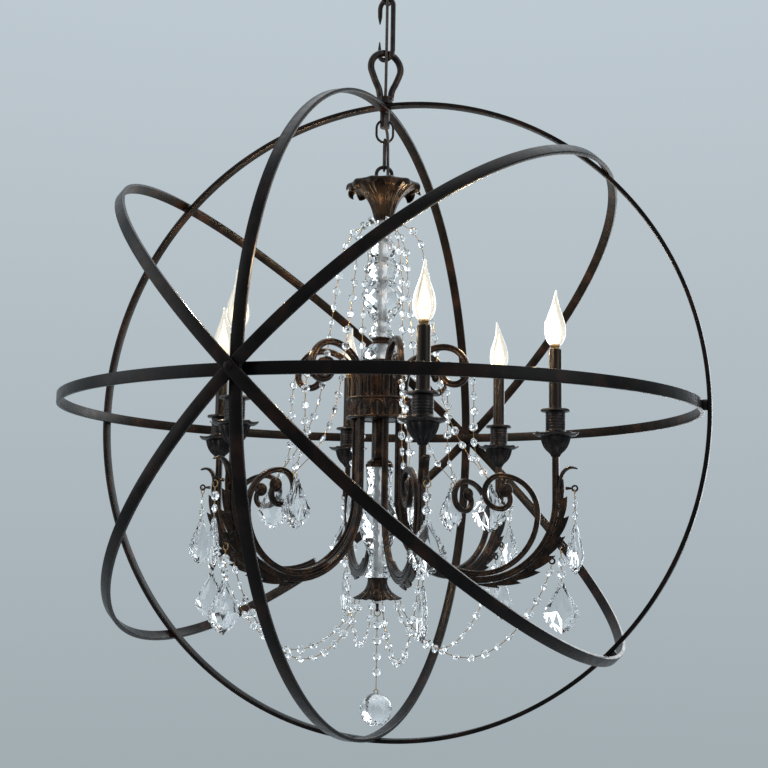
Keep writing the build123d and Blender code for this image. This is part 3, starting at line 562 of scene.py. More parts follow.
upper_route = [beside(0, 9.8, CORD_TOP), beside(0, 9.8, 541.0), beside(0, 0, 520.0), beside(0, 0, CORD_BOSS)]
lower_route = [beside(0, 0, CORD_BOSS), beside(0, 0, 489.8), beside(0, 11.5, 478.2), beside(0, 11.5, 463.2)]
lower_route += [beside(5.5, 6.3, 445.7), beside(5.5, 6.3, CORD_FOOT)]


def route_line(route):
    """Points read from the route's smooth spline."""
    curve = bpy.data.curves.new("route", "CURVE")
    curve.dimensions = "3D"
    curve.resolution_u = 64
    spline = curve.splines.new("NURBS")
    spline.points.add(len(route) - 1)
    for point, place in zip(spline.points, route):
        point.co = (*place, 1)
    spline.order_u = 3
    spline.use_endpoint_u = True
    holder = bpy.data.objects.new("route", curve)
    mesh = bpy.data.meshes.new_from_object(holder)
    line = [v.co.copy() for v in mesh.vertices]
    bpy.data.objects.remove(holder)
    bpy.data.curves.remove(curve)
    bpy.data.meshes.remove(mesh)
    return line


def cord_piece(name, line, top, bottom, node):
    """The cord between two heights, along the route's smooth line."""
    run = [p for p in line if bottom - 0.01 <= p.z <= top + 3.0]
    made = mesh_piece(name, tube(run, CORD_R, 14), CORD)
    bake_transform(made)
    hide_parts(node)


upper_line = route_line(upper_route)
lower_line = route_line(lower_route)
for name, top, bottom, bodies, bend_from, bend_to in (
    ("supply_cord_canopy", CORD_TOP, 726.0, ("canopy_body", "upper_link"), 756.0, 730.0),
    ("supply_cord_links", 726.0, 693.0, ("upper_link", "lower_link"), 722.0, 698.0),
    ("supply_cord_hook", 693.0, 630.0, ("lower_link", "hook"), 688.0, 664.0),
    ("supply_cord_loop", 630.0, CORD_BOSS, ("hook", "orb"), 598.0, 562.0),
):
    cord_piece(name, upper_line, top, bottom, "supply_cord_upper")
for name, top, bottom, bodies, bend_from, bend_to in (
    ("supply_cord_boss", CORD_BOSS, 460.0, ("orb", "stub_ring"), 484.0, 466.0),
    ("supply_cord_ring", 460.0, 420.0, ("stub_ring", "oval"), 454.0, 434.0),
    ("supply_cord_crown", 420.0, CORD_FOOT, ("oval", "chandelier"), 412.0, 378.0),
):
    cord_piece(name, lower_line, top, bottom, "supply_cord_lower")


# ---- the column ----------------------------------------------------------------------------------
def wave(angle, count):
    return 0.5 + 0.5 * cos(count * angle)


crown_rise = [(307, 15.3), (313, 15.5), (320, 16.8), (337, 22.8), (351, 31.3), (361, 42.3), (366, 52)]
crown_outline = eased(crown_rise, 5)
lip_outline = [(366.8, 54.0), (366.4, 56.2), (364.2, 58.4), (360.8, 59.6), (356.8, 59.4), (353.2, 57.6)]
crown_line = crown_outline + lip_outline + [(351.4, 54.6)]
lip_start = len(crown_outline) - 1


def crown_shape():
    """A fluted cup whose rim curls over in twelve leaves, every second one longer, with a wall of its own."""
    sides, count, bore = 216, len(crown_line), 5.6
    rim_z, rim_r = crown_line[lip_start]
    outer, inner = [], []
    for k, (z, r) in enumerate(crown_line):
        share = min(1.0, k / lip_start)
        before, after = crown_line[max(k - 1, 0)], crown_line[min(k + 1, count - 1)]
        slope = Vector((after[1] - before[1], after[0] - before[0])).normalized()
        wall = 2.0 - 0.9 * share
        outer_row, inner_row = [], []
        for n in range(sides):
            angle = 2 * pi * n / sides
            leaf = wave(angle, 12)
            carve = 3.0 * share**1.4 * (1 - leaf) - (0.4 + 0.9 * share) * wave(angle, 24) ** 2
            zz, rr = z, r
            if k > lip_start:
                kept = min(1.0, (0.42 + 0.58 * leaf**0.7) * (0.62 + 0.38 * wave(angle, 6)) * 1.15)
                at = lip_start + (k - lip_start) * kept
                low_k = min(int(at), count - 2)
                blend = at - low_k
                (low_z, low_r), (high_z, high_r) = crown_line[low_k : low_k + 2]
                rolled = min(1, kept * 3)
                zz = (low_z * (1 - blend) + high_z * blend) * rolled + rim_z * (1 - rolled)
                rr = (low_r * (1 - blend) + high_r * blend) * rolled + rim_r * (1 - rolled)
            rr -= carve
            outer_row.append((rr * cos(angle), rr * sin(angle), zz))
            ri = rr - wall * slope.y
            inner_row.append((ri * cos(angle), ri * sin(angle), zz + wall * slope.x))
        outer.append(outer_row)
        inner.append(inner_row)
    return grid(outer + inner[:6:-1] + [circle(bore, 319, sides), circle(bore, 307, sides)], along=True)


piece("leafed_crown_cup", crown_shape(), GOLD, "chandelier", ["crown_cup"], 60)

UPPER_GLASS = [
    (118.1, 20), (121, 21), (128, 17), (135, 14.2), (142, 13.5), (149, 17), (156, 22), (164, 27),
    (172, 31), (180, 33), (188, 33), (195, 30.5), (202, 26), (208, 21.5), (213, 20.5), (219, 25),
    (226, 28.5), (233, 27), (240, 22.5), (247, 18.8), (254, 20.5), (262, 22.6), (270, 19.5), (278, 14),
    (286, 12.6), (296, 13.4), (306.8, 14.5),
]
LOWER_GLASS = [
    (-255.8, 21.4), (-252, 21.6), (-246, 18.8), (-240, 16.6), (-232, 14.4), (-224, 13.6), (-215, 17.4),
    (-205, 22), (-196, 26), (-187, 28.8), (-178, 29.8), (-168, 29.6), (-158, 28.4), (-148, 25),
    (-138, 21.6), (-128, 20.2), (-116, 19.8), (-104, 20.2), (-94, 21), (-87.2, 21.3),
]
KNOP = [(81.2, 27), (83, 29.6), (87, 30.4), (92, 29.4), (97, 27), (102, 23), (106.8, 18)]
crystal("cut_upper_column", cut_glass(UPPER_GLASS, 12), "chandelier", "upper_glass")
crystal("cut_lower_column", cut_glass(LOWER_GLASS, 12), "chandelier", "lower_glass")
crystal("cut_knop", cut_glass(KNOP, 16), "chandelier", "knop_glass")


def beading(angle, z, r, k):
    """Beads round the coupling's two crests."""
    return z, r - 0.5 * wave(angle, 32) * (k in (2, 6))


coupling = [(107.2, 14), (107.6, 15.4), (109, 16), (110.4, 15), (112.5, 14.2), (114.6, 15), (116, 16)]
coupling += [(117.4, 15.4), (117.8, 14)]
coupling_shape = lathe(coupling, 64, beading)
bronze("beaded_coupling", coupling_shape, "glass_coupling")


def rib(angle, z, r, k):
    """Twenty-four flutes between the hub's mouldings."""
    if 23 < z < 71:
        return z, r - 2.4 * abs(sin(12 * angle)) ** 0.7
    return z, r


core_line = [(-12, 33.2), (-11, 34.5), (20, 34.6), (21, 33.6), (21.6, 29.5), (23, 28.6), (24.4, 28.2)]
core_line += [(25.6, 26.8)] + [(26 + 4.5 * k, 26.6) for k in range(1, 10)]
core_line += [(69.2, 26.7), (70.6, 28.2), (72, 29.0), (73.6, 28.6), (74.6, 26.8), (76.2, 26.4)]
core_line += [(77.6, 28.0), (79.6, 28.6), (80.8, 27.8)]
bronze("reeded_hub", lathe(core_line, 144, rib), "hub_core")


def emboss(angle, z, r, k):
    """Twelve arched leaves round the band, between two plain lips."""
    if r < 53 or not -8.5 < z < 17.5:
        return z, r
    across = (angle * 12 / (2 * pi)) % 1 * 2 - 1
    up = (z - 4.5) / 13
    arch = max(0.0, 1 - abs(across**2 + (0.62 * up + 0.25) ** 2 - 0.55) / 0.17)
    vein = max(0.0, 1 - abs(across) / 0.12) * (up < 0.55)
    side_leaf = max(0.0, 1 - abs(abs(across) - 0.86 + 0.25 * up) / 0.12)
    return z, r - 2.2 + 1.9 * max(arch, 0.8 * vein, 0.7 * side_leaf)


band_line = [(-12, 46), (-12, 52.6), (-11.2, 53.8), (-10, 54), (-9, 53.4)]
band_line += [(-8.4 + 0.9 * k, 53.4) for k in range(1, 29)]
band_line += [(18, 53.4), (19, 54), (20.2, 53.8), (21, 52.6), (21, 46)]
band = lathe(band_line, 288, emboss, closed=True)
bronze("embossed_band", band, "hub_band", 50)

post_line = [(-86.8, 20), (-86.4, 21.6), (-84.8, 22), (-82, 21.6), (-80, 19.4), (-78.6, 19.8), (-77.2, 18)]
post_line += [(-75, 14.5), (-72.5, 12.4), (-60, 11.6), (-40, 11.6), (-24, 11.8), (-20, 12.8), (-17.5, 13.2)]
post_line += [(-15, 12.4), (-12.2, 12)]
bronze("turned_post", lathe(post_line, 48), "centre_post")


def flare(angle, z, r, k):
    """Sixteen flutes that deepen toward the bell's rim."""
    depth = max(0.0, min(1.0, (-262 - z) / 26))
    valley = 1 - wave(angle, 16)
    return z - 1.6 * depth**3 * valley, r - (0.8 + 2.4 * depth) * depth**0.5 * valley


bell_outside = [(-256.2, 16), (-260, 15.6), (-264, 16), (-270, 17.6), (-276, 21), (-281, 26.6), (-285, 33)]
bell_inside = [(-288.2, 37.2), (-287.6, 32), (-285, 26), (-281, 20), (-279.6, 9.8)]
bell = lathe(eased(bell_outside + [(-286.6, 37.6)], 4) + eased(bell_inside, 3), 192, flare)
bronze("fluted_bell", bell, "base_bell", 50)

finial_line = [(-286.6, 9.2), (-288.6, 8.6), (-290.4, 7.0), (-292.6, 4.6), (-295.4, 2.9), (-299, 2.2)]
finial = Shape().add(lathe(finial_line + [(-301.4, 2.2), (-302, 1.4)], 36))
finial.add(wire_ring((0, 0, -304.5), 3.4, 1.1, (0, 1, 0), 15, 10))
bronze("finial_knob", finial, "finial")


# ---- arms, scrolls and leaves --------------------------------------------------------------------
HUB_R, CANDLE_R, BEND_Z = 40.0, 276.0, -138.0
CENTRE_R, BEND = (HUB_R + CANDLE_R) / 2, (CANDLE_R - HUB_R) / 2
CUP_FOOT_Z = -72.0
curl_moves = [(61.0, -90.0), (39.0, -90.0), (20.0, -180.0), (11.0, -150.0)]
rising = trace((HUB_R, BEND_Z), 90, [(177.0,)] + curl_moves)
falling = trace((HUB_R, BEND_Z), -90, [(BEND, 180), (CUP_FOOT_Z - BEND_Z - 0.3,)])
arm_line = rising[::-1] + falling[1:]


def moulded(half_width, half_height):
    """A bar's section with rounded corners and a groove down each side."""
    w, h = half_width, half_height
    quarter = [(w, 0.62 * h), (0.9 * w, 0.84 * h), (0.7 * w, 0.96 * h), (0.35 * w, h)]
    groove = [(0.76 * w, 0.0), (0.84 * w, 0.22 * h), (0.96 * w, 0.38 * h)]
    right = groove + quarter
    top = [(0.0, h)]
    left = [(-x, y) for x, y in reversed(right)]
    lower = [(-x, -y) for x, y in right[1:]] + [(0.0, -h)] + [(x, -y) for x, y in reversed(right[1:])]
    return right + top + left + lower


arms, scrolls, leaves = Shape(), Shape(), Shape()
arm = bar(arm_line, moulded(4.5, 5.0), lambda s: min(1.0, 0.72 + 0.28 * s / 0.12))
tip = arm_line[0]
knob = dome(7.2, 0.62, 24)


def spiral(angle, z, r, k):
    """A snail's groove wound into both faces of a button."""
    turn = (r / 3.2 - angle / (2 * pi)) % 1
    return z * (1 - 0.2 * (sin(pi * turn) ** 6) * (r < 9.8)), r


button = [(-6, 0.4), (-5.9, 2), (-5.6, 3.6), (-5.2, 5.2), (-4.6, 6.8), (-3.8, 8.2), (-2.6, 9.6), (-1, 10.6)]
rosette = lathe(button + [(-z, r) for z, r in reversed(button)], 48, spiral)
# The scroll lies inside the bend: half the arm's bar, a small gap and half its own bar nearer the centre.
seat = BEND - 5.0 - 0.3 - 4.0
start = (CENTRE_R + seat * cos(radians(240)), BEND_Z + seat * sin(radians(240)))
scroll_rise = [(seat, 30.0), (91.0, 90.0), (56.0, 90.0)]
scroll_line = trace(start, 330, scroll_rise + [(25.0, 180.0), (15.0, 150.0)])
scroll = bar(scroll_line, moulded(4.0, 4.0), lambda s: 1.0 if s < 0.8 else 1.0 - 0.5 * (s - 0.8))
end = scroll_line[-1]
sideways = rotated(90, "X")
LEAF_R = BEND + 5.3


def on_leaf(angle, reach):
    """A point so far outside the leaf's root line: round the bend below 0 degrees, straight up above it."""
    radius = LEAF_R + reach
    if angle > 0:
        return CENTRE_R + radius, BEND_Z + LEAF_R * radians(angle)
    out = direction(angle, radius)
    return CENTRE_R + out.x, BEND_Z + out.y


def leaf():
    """A cast acanthus leaf along the outside of the bend: toothed, ribbed, thick at its root."""
    teeth, steps, across = 8, 14, 12
    rows = []
    for k in range(teeth * steps + 1):
        share = k / (teeth * steps)
        phase = k % steps / steps
        swell = sin(pi * (0.07 + 0.88 * share)) ** 0.8
        tooth = (1 - phase) ** 0.75 if phase > 0 else 0.12
        reach = swell * (9.5 + 10.0 * tooth)
        top, under = [], []
        for n in range(across + 1):
            q = n / across
            r, z = on_leaf(15 - 105 * share + 4.6 * q * q * tooth * swell, reach * q)
            rib = 0.5 * cos(2 * pi * (2.5 * q + 0.5 * phase)) * (1 - 0.5 * q)
            half_thick = 0.5 + 1.9 * (1 - q) ** 0.7 + rib + 0.5 * sin(pi * q)
            top.append((r, half_thick, z))
            under.append((r, -half_thick, z))
        rows.append(top + under[::-1])
    return grid(rows, caps=True)


def leaf_tip():
    """The leaf's end, bent outward under the cup."""
    path = [(281, -124), (282, -112), (284.5, -101), (289, -93), (295.5, -88.5), (302.5, -88), (309, -90)]
    angles = [2 * pi * k / 20 for k in range(20)]
    section = [(7.6 * cos(a), (2.9 + 0.5 * cos(3 * a) ** 2) * sin(a)) for a in angles]
    return bar(eased(path, 4), section, lambda s: 0.2 + 0.8 * max(0.0, cos(0.5 * pi * s)) ** 0.5)


eye_rings = Shape()
for r, z in (on_leaf(9, 23), on_leaf(-28, 19), on_leaf(-38, 19)):
    eye_rings.add(wire_ring((r, 0, z), 3.9, 1.45, step=15, sides=10))
    tilt = atan2(z - BEND_Z, r - CENTRE_R) if z < BEND_Z else 0.0
    stem = [4.4 + 3.0 * s for s in range(4)]
    back = [(r - length * cos(tilt), 0, z - length * sin(tilt)) for length in stem]
    eye_rings.add(tube(back, lambda s: 1.5 + 1.2 * s, 10))
leaf_shape = both(leaf(), leaf_tip())
for azimuth in AZIMUTHS:
    turn = arm_turn(azimuth)
    arms.add(arm, turn)
    arms.add(knob, turn @ moved(tip[0], 0, tip[1]) @ sideways)
    scrolls.add(scroll, turn)
    scrolls.add(rosette, turn @ moved(end[0], 0, end[1]) @ sideways)
    leaves.add(leaf_shape, turn)
    leaves.add((eye_rings.points, eye_rings.faces), turn)
bronze("grooved_arms", arms, "arms", 50)
bronze("arm_volutes", scrolls, "arm_scrolls", 50)
bronze("acanthus_leaves", leaves, "arm_leaves", 40)


# ---- candles -------------------------------------------------------------------------------------
def cup_carve(angle, z, r, k):
    """A woven neck, a pan with eight points, and flutes round the bowl."""
    if z > -33.5 and r < 17:
        twist = angle * 14 + z * 0.9
        weave = abs(sin(twist)) * 0.55 + abs(sin(z * 0.75)) * 0.75
        return z, r - 1.3 + weave
    if r > 24 and -43 < z < -32:
        tip = wave(angle, 8) ** 2
        return z - 1.6 * (1 - tip) * (r - 22) / 14 + 0.6 * tip, r - 3.4 * (1 - tip) * (r - 22) / 14
    if z < -42:
        return z, r - (0.08 * r + 0.3) * abs(sin(8 * angle)) ** 0.8
    return z, r


cup_line = [(CUP_FOOT_Z, 5.4), (-71.4, 6.6), (-69, 7.6), (-66.5, 9.6), (-62, 14.6), (-57, 18.2), (-51, 20.8)]
cup_line += [(-46, 22.2), (-42.6, 22.8), (-41.4, 26), (-40.2, 30.4), (-38.4, 34), (-37, 35), (-36.2, 34.4)]
cup_line += [(-36.4, 31), (-36.2, 26), (-35, 20), (-33.6, 15.4)]
cup_line += [(-33 + 1.1 * k, 14.9) for k in range(1, 26)]
cup_line += [(-5.4, 15.6), (-4.8, 18.8), (-4.4, 21), (-3.6, 22), (-1.2, 22), (-0.5, 21.2)]
cup_line += [(-0.4, 17), (-0.1, 9)]
cup = lathe(cup_line, 112, cup_carve)
sleeve_line = [(0.2, 10.2), (1.0, 10.6), (2.0, 9.9), (3.2, 9.7), (88.6, 9.7), (89.8, 9.5), (90.2, 9.0)]
sleeve = lathe(sleeve_line + [(89.8, 8.4), (58, 8.2)], 48)
bulb_points = [(95.4, 7), (98.4, 9.6), (103, 12.6), (109, 14.9), (117, 16), (125, 15.7), (133, 14.2)]
bulb_points += [(141, 11.8), (149, 9), (157, 6.3), (165, 4.2), (172, 2.8), (178, 1.8), (181.4, 0.9)]
bulb_outline = eased(bulb_points, 3)


def bent(made, amount):
    """The blown tip leans over a little."""
    points, faces = made
    return [Vector((p.x + amount * max(0.0, (p.z - 140) / 40) ** 2, p.y, p.z)) for p in points], faces


bulb_glass = bent(lathe(bulb_outline, 40), 4.0)
bulb_heart = bent(lathe([(98.0 + 0.72 * (z - 95.4), 0.5 * r) for z, r in bulb_outline], 32), 1.6)
cap_line = [(66.4, 3.0), (67.6, 5.6), (88.0, 5.8), (89.6, 6.2), (91.0, 6.0), (93.0, 6.3), (94.2, 7.1)]
bulb_cap = lathe(cap_line + [(96.2, 7.4), (97.6, 7.0), (97.8, 4)], 32)
cups, sleeves = Shape(), Shape()
for k, azimuth in enumerate(AZIMUTHS):
    turn = arm_turn(azimuth) @ moved(CANDLE_R, 0, 0)
    cups.add(cup, turn)
    sleeves.add(sleeve, turn)
    lean = turn @ rotated(75 * k, "Z")
    bulb = f"bulb_{k + 1}"
    piece(f"{bulb}_glass", Shape().add(bulb_glass, lean), LAMP, f"{bulb}_lamp", [bulb])
    piece(f"{bulb}_glow", Shape().add(bulb_heart, lean), GLOW, f"{bulb}_lamp")
    brass(f"{bulb}_cap", Shape().add(bulb_cap, turn), f"{bulb}_lamp")
piece("fluted_cups", cups, BLACK, "chandelier", ["candle_cups"], 50)
piece("candle_tubes", sleeves, SLEEVE, "chandelier", ["candle_sleeves"])


# ---- crystals ------------------------------------------------------------------------------------
def islands(node):
    """The separate solids of a CAD node, each as its corner points in orb millimetres."""
    work = bmesh.new()
    work.from_mesh(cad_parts[node].data)
    bmesh.ops.remove_doubles(work, verts=work.verts, dist=2e-6)
    found, seen = [], set()
    for first in work.verts:
        if first in seen:
            continue
        group, queue = [], [first]
        seen.add(first)
        while queue:
            vert = queue.pop()
            group.append(Vector((vert.co.x / MM, vert.co.y / MM, (vert.co.z - ORB_Z) / MM)))
            for edge in vert.link_edges:
                other = edge.other_vert(vert)
                if other not in seen:
                    seen.add(other)
                    queue.append(other)
        found.append(group)
    work.free()
    return found


def middle(points):
    return sum(points, Vector()) / len(points)


def axes(origin, x, y):
    """A matrix that carries X and Y onto two directions at the origin."""
    x = x.normalized()
    y = (y - x * y.dot(x)).normalized()
    z = x.cross(y)
    return Matrix.Translation(origin) @ Matrix((x, y, z)).transposed().to_4x4()


def octagon_bead():
    """Axis along X: a thin girdle, eight kite facets and a small table on each side."""
    rings = [(-3.2, 2.9), (-2.1, 5.0), (-0.45, 7.0), (0.45, 7.0), (2.1, 5.0), (3.2, 2.9)]
    turned = (0, 1, 0, 0, 1, 0)
    rows = [[(x, y, z) for y, z, _ in circle(r, 0, 8, t * pi / 8)] for t, (x, r) in zip(turned, rings)]
    return zigzag(rows, turned)


def stitch(outer, inner, places, faces):
    """Triangles between two rings of different counts, matched by their angle about the drop's middle."""

    def share(k):
        return atan2(places[k][0], places[k][1] - DROP_MIDDLE) % (2 * pi)

    a = sorted(outer, key=share)
    b = sorted(inner, key=share)
    i = j = 0
    while i < len(a) or j < len(b):
        next_a = share(a[i + 1]) if i + 1 < len(a) else share(a[0]) + 2 * pi
        next_b = share(b[j + 1]) if j + 1 < len(b) else share(b[0]) + 2 * pi
        if j == len(b) or (i < len(a) and next_a <= next_b):
            faces.append((a[i], a[(i + 1) % len(a)], b[j % len(b)]))
            i += 1
        else:
            faces.append((b[j], a[i % len(a)], b[(j + 1) % len(b)]))
            j += 1


RIM = [(0.14, 0.0), (0.2, -0.07), (0.35, -0.18), (0.58, -0.3), (0.8, -0.43), (0.95, -0.55)]
RIM += [(1.0, -0.64), (0.93, -0.73), (0.74, -0.82), (0.46, -0.91), (0.18, -0.97)]
KITE = [(0.0, -0.1), (0.44, -0.36), (0.68, -0.6), (0.46, -0.78), (0.0, -0.9)]
KITE += [(-w, z) for w, z in KITE[3:0:-1]]
TABLE = [(0.0, -0.34), (0.26, -0.56), (0.0, -0.74), (-0.26, -0.56)]
DROP_LENGTH, DROP_HALF_THICK, DROP_HALF_WIDTH, DROP_MIDDLE = 75.0, 5.625, 26.25, -0.58


def pendalogue():
    """A cut drop hanging from z = 0, thin along X: scalloped rim, kite facets and a small table."""
    side = eased(RIM, 3)
    rim = []
    for n, (w, z) in enumerate(side + [(0.0, -1.0)] + [(-w, z) for w, z in reversed(side)]):
        notch = 0.93 if n % 3 == 0 else 1.0
        rim.append((w * notch, DROP_MIDDLE + (z - DROP_MIDDLE) * notch))
    places, points, faces = [], [], []
    rings = []
    for x, ring in ((-1.0, TABLE), (-0.72, KITE), (-0.14, rim), (0.14, rim), (0.72, KITE), (1.0, TABLE)):
        rings.append(range(len(points), len(points) + len(ring)))
        places.extend(ring)
        points.extend(Vector((x * DROP_HALF_THICK, w * DROP_HALF_WIDTH, z * DROP_LENGTH)) for w, z in ring)
    for outer, inner in ((2, 1), (1, 0), (3, 4), (4, 5)):
        stitch(rings[outer], rings[inner], places, faces)
    count = len(rim)
    for k in range(count):
        n = (k + 1) % count
        faces.append((rings[2][k], rings[2][n], rings[3][n], rings[3][k]))
    faces.append(tuple(rings[0]))
    faces.append(tuple(rings[5])[::-1])
    return points, faces


def faceted_ball(radius, rings=12, sides=18):
    polars = [pi * (0.035 + 0.93 * k / rings) for k in range(rings + 1)]
    return cut_glass([(-radius * cos(a), radius * sin(a)) for a in polars], sides)


PIN = [(0.0, 0.85), (0.5, 1.15), (1.2, 1.1), (1.9, 0.55)]
BEAD, DROP = octagon_bead(), pendalogue()


def pin(start, end):
    """A bow-tie pin between two beads, its loops closed against them."""
    run = end - start
    length = run.length + 0.2
    line = PIN + [(length - z, r) for z, r in reversed(PIN)] if length > 4.4 else [(0, 0.7), (length, 0.7)]
    turn = run.to_track_quat("Z", "Y").to_matrix().to_4x4()
    return lathe(line, 8), Matrix.Translation(start - run.normalized() * 0.1) @ turn


BEAD_CORNERS, PIN_CORNERS, DROP_CORNERS = 10, 6, 14
BEAD_STEP = 137.5
TILT = rotated(22.5, "X")


def crystals(node, body, face=None):
    """Cut beads, brass pins, rings and the drop of a node, each where its CAD solid is.

    A string's beads are turned step by step on their wire; a drop and its beads have their face turned by
    the angle given, from square to the radius.
    """
    clear, wires = Shape(), Shape()
    groups = islands(node)
    beads = [middle(group) for group in groups if len(group) == BEAD_CORNERS]
    count = 0
    for group in groups:
        centre = middle(group)
        near = sorted(group, key=lambda p: (p - (centre if len(group) == BEAD_CORNERS else group[0])).length)
        if len(group) == BEAD_CORNERS:
            others = [b - centre for b in beads if (b - centre).length > 1]
            wire = min(others, key=lambda v: v.length).normalized()
            axis = near[0] - near[1]
            count += 1
            spin = count * BEAD_STEP if face is None else face + 90
            axis = Matrix.Rotation(radians(spin), 3, wire) @ (axis - wire * axis.dot(wire))
            clear.add(BEAD, axes(centre, axis, Matrix.Rotation(radians(22.5), 3, axis) @ wire))
        elif len(group) == PIN_CORNERS:
            wires.add(*pin(middle(near[:3]), middle(near[3:])))
        elif len(group) == DROP_CORNERS:
            top = Vector((centre.x, centre.y, max(p.z for p in group)))
            thin = Matrix.Rotation(radians(90 + face), 3, "Z") @ Vector((centre.x, centre.y, 0))
            clear.add(DROP, axes(top, thin, Vector((0, 0, 1)).cross(thin)))
        else:
            level = [Vector((p.x - centre.x, p.y - centre.y, 0)) for p in group]
            along = max(level, key=lambda v: v.length).normalized()
            wires.add(wire_ring(centre, 5.0, 0.75, along))
    crystal(f"{node}_crystals", clear, body, node)
    brass(f"{node}_wires", wires, body)


for node in ("crown_strands", "curl_strands", "swags"):
    crystals(node, "chandelier")
for k in range(1, ARMS + 1):
    crystals(f"outer_drop_{k}", f"outer_drop_{k}_pendant", 71)
    crystals(f"low_drop_{k}", f"low_drop_{k}_pendant", 0)

# The ball hangs on four beads, a bead's pitch lower than in the rigid part.
ball_beads = (-328.5, -352.0, -375.5, -399.0)
BALL_Z, BALL_R = -455.0, 24.8
ball_ring = max((middle(group) for group in islands("ball_drop")), key=lambda p: p.z)
strand, strand_wires = Shape(), Shape()
strand_wires.add(wire_ring(ball_ring, 5.0, 0.75))
for z in ball_beads:
    strand.add(BEAD, axes(Vector((0, 0, z)), Vector((0.34, -0.94, 0)), Vector((0, 0, 1))) @ TILT)
stops = [ball_ring.z - 4.6] + [z + side for z in ball_beads for side in (6.6, -6.6)] + [BALL_Z + BALL_R + 5.2]
for high, low in zip(stops[::2], stops[1::2]):
    strand_wires.add(*pin(Vector((0, 0, high)), Vector((0, 0, low))))
strand_wires.add(wire_ring((0, 0, BALL_Z + BALL_R + 2.2), 3.4, 0.7))
strand.add(faceted_ball(BALL_R), moved(0, 0, BALL_Z))
crystal("ball_drop_crystals", strand, "ball_pendant", "ball_drop")
brass("ball_drop_wires", strand_wires, "ball_pendant")

# A drop hangs where the strands meet on each scroll.
top_r, top_z = trace(start, 330, scroll_rise)[-1]
meeting_r, meeting_z = top_r - 20.5, top_z - 4.5
quarter = rotated(90, "Z")
scroll_ring = wire_ring((meeting_r, 8.8, meeting_z - 3.5), 4.6, 0.75, (0, 1, 0))
scroll_drops, scroll_rings = Shape(), Shape()
for azimuth in AZIMUTHS:
    turn = arm_turn(azimuth)
    scroll_drops.add(DROP, turn @ moved(meeting_r, 12.8, meeting_z - 6.5) @ quarter)
    scroll_rings.add(scroll_ring, turn)
crystal("scroll_drop_crystals", scroll_drops, "chandelier")
brass("scroll_drop_wires", scroll_rings, "chandelier")


# ---- nodes that stay -----------------------------------------------------------------------------
stay = {node: STEEL for node in ("mounting_strap", "canopy_nipple", "nipple_nut", "column_rod")}
stay.update(lamp_sockets=BRASS, top_boss=CHAIN)
for node, material in stay.items():
    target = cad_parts[node]
    for place in target.material_slots:
        place.material = material
    if not target.material_slots:
        target.data.materials.append(material)


# ---- room, lamps and camera ----------------------------------------------------------------------
def floor_material():
    nodes = Nodes(bpy.data.materials.new("pale_floor"))
    tone = nodes.ramp(nodes.noise(3.0), (0.3, (0.58, 0.62, 0.64)), (0.7, (0.64, 0.68, 0.7)))
    nodes.link(tone, nodes.shader.inputs["Base Color"])
    fill(nodes.shader, {"Roughness": 0.7})
    return nodes.owner


floor = mesh_piece("floor", lathe([(-1641, 5000), (-1640, 5000)], 96), floor_material())

world = bpy.data.worlds.new("room")
bpy.context.scene.world = world
world.use_nodes = True
world.node_tree.nodes.clear()
room = Nodes(world, "Generated")
split = room.add("SeparateXYZ")
room.link(room.place, split.inputs["Vector"])
height = room.span(split.outputs["Z"], 0, 1, (-1, 1))
seen, soft = room.add("Background"), room.add("Background")
wall = room.ramp(height, (0.35, (0.33, 0.385, 0.41)), (0.8, (0.56, 0.64, 0.69)))
room.link(wall, seen.inputs["Color"])
fill(soft, {"Color": (0.86, 0.93, 1.0, 1), "Strength": 0.55})
rays = room.add("LightPath")
shown = rays.outputs["Is Camera Ray"]
for ray in ("Is Glossy Ray", "Is Transmission Ray"):
    either = room.add("Math", operation="MAXIMUM")
    room.link(shown, either.inputs[0])
    room.link(rays.outputs[ray], either.inputs[1])
    shown = either.outputs[0]
choice = room.add("MixShader")
room.link(shown, choice.inputs["Fac"])
room.link(soft.outputs[0], choice.inputs[1])
room.link(seen.outputs[0], choice.inputs[2])
room.link(choice.outputs[0], room.add("OutputWorld").inputs["Surface"])


def add_light(name, kind, place, power, colour):
    light = bpy.data.lights.new(name, kind)
    light.energy = power
    light.color = colour
    holder = show(name, light)
    holder.location = to_frame(place)
    return holder


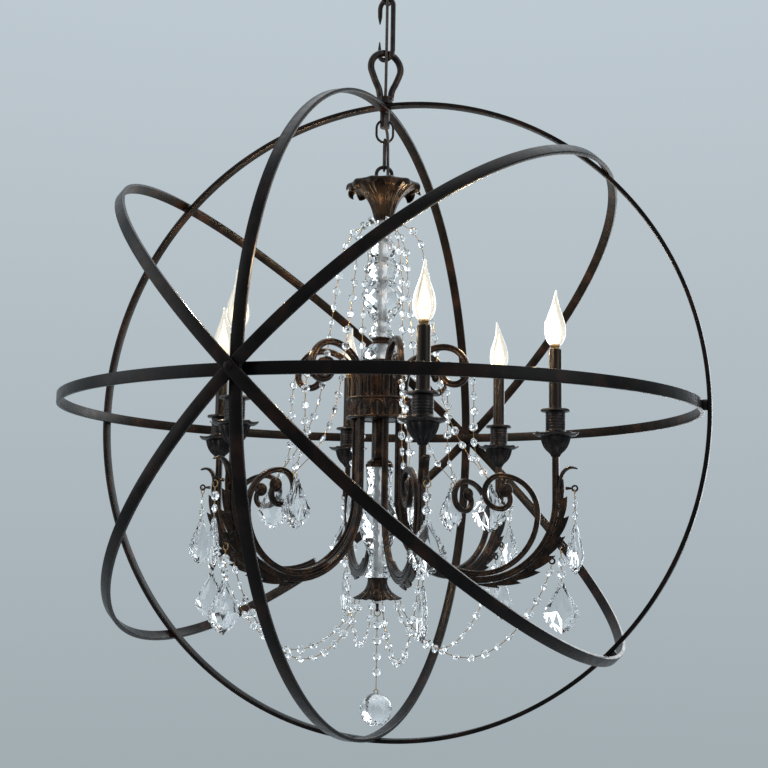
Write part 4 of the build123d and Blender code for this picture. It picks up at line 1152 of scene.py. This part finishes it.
def softbox(name, x, y, z, size, power, colour):
    holder = add_light(name, "AREA", (x, y, z), power, colour)
    holder.data.shape = "RECTANGLE"
    holder.data.size, holder.data.size_y = size
    holder.rotation_mode = "QUATERNION"
    holder.rotation_quaternion = (to_frame((0, 0, 0)) - holder.location).to_track_quat("-Z", "Y")


softbox("window_left", -2300, -1500, 700, (2.2, 3.0), 40, (0.93, 0.97, 1.0))
softbox("window_right", 2500, -900, 900, (1.8, 2.6), 26, (0.93, 0.97, 1.0))
softbox("ceiling_bounce", 200, 600, 2300, (2.6, 2.6), 34, (0.95, 0.98, 1.0))
softbox("back_edge", 600, 2600, 500, (1.4, 1.8), 22, (0.95, 0.98, 1.0))
TIP_Z = 196.0  # just above a bulb's tip
for k, azimuth in enumerate(AZIMUTHS):
    at = direction(azimuth - 90, CANDLE_R)
    lamp = add_light(f"lamp_{k + 1}", "POINT", (at.x, at.y, TIP_Z), 2.2, (1.0, 0.72, 0.42))
    lamp.data.shadow_soft_size = 0.01

camera = show("camera", bpy.data.cameras.new("camera"))
camera.data.sensor_width = 36.0
camera.data.lens = 53.87
camera.data.clip_start = 0.05
camera.data.clip_end = 50.0
CAMERA_REACH, CAMERA_Z = 1797.6, -191.5
view_angle = radians(20.11)
toward = Vector((-sin(view_angle), cos(view_angle), 0))
right = Vector((cos(view_angle), sin(view_angle), 0))
yaw, pitch, roll = (radians(a) for a in (0.16, 7.49, 0.89))
level = toward * cos(yaw) + right * sin(yaw)
right = right * cos(yaw) - toward * sin(yaw)
ahead = level * cos(pitch) + Vector((0, 0, 1)) * sin(pitch)
above = Vector((0, 0, 1)) * cos(pitch) - level * sin(pitch)
rolled = right * cos(roll) + above * sin(roll)
above = above * cos(roll) - right * sin(roll)
camera.location = to_frame((sin(view_angle) * CAMERA_REACH, -cos(view_angle) * CAMERA_REACH, CAMERA_Z))
camera.rotation_mode = "QUATERNION"
camera.rotation_quaternion = Matrix((rolled, above, -ahead)).transposed().to_quaternion()
bpy.context.scene.camera = camera
bpy.context.scene.view_settings.view_transform = "Standard"
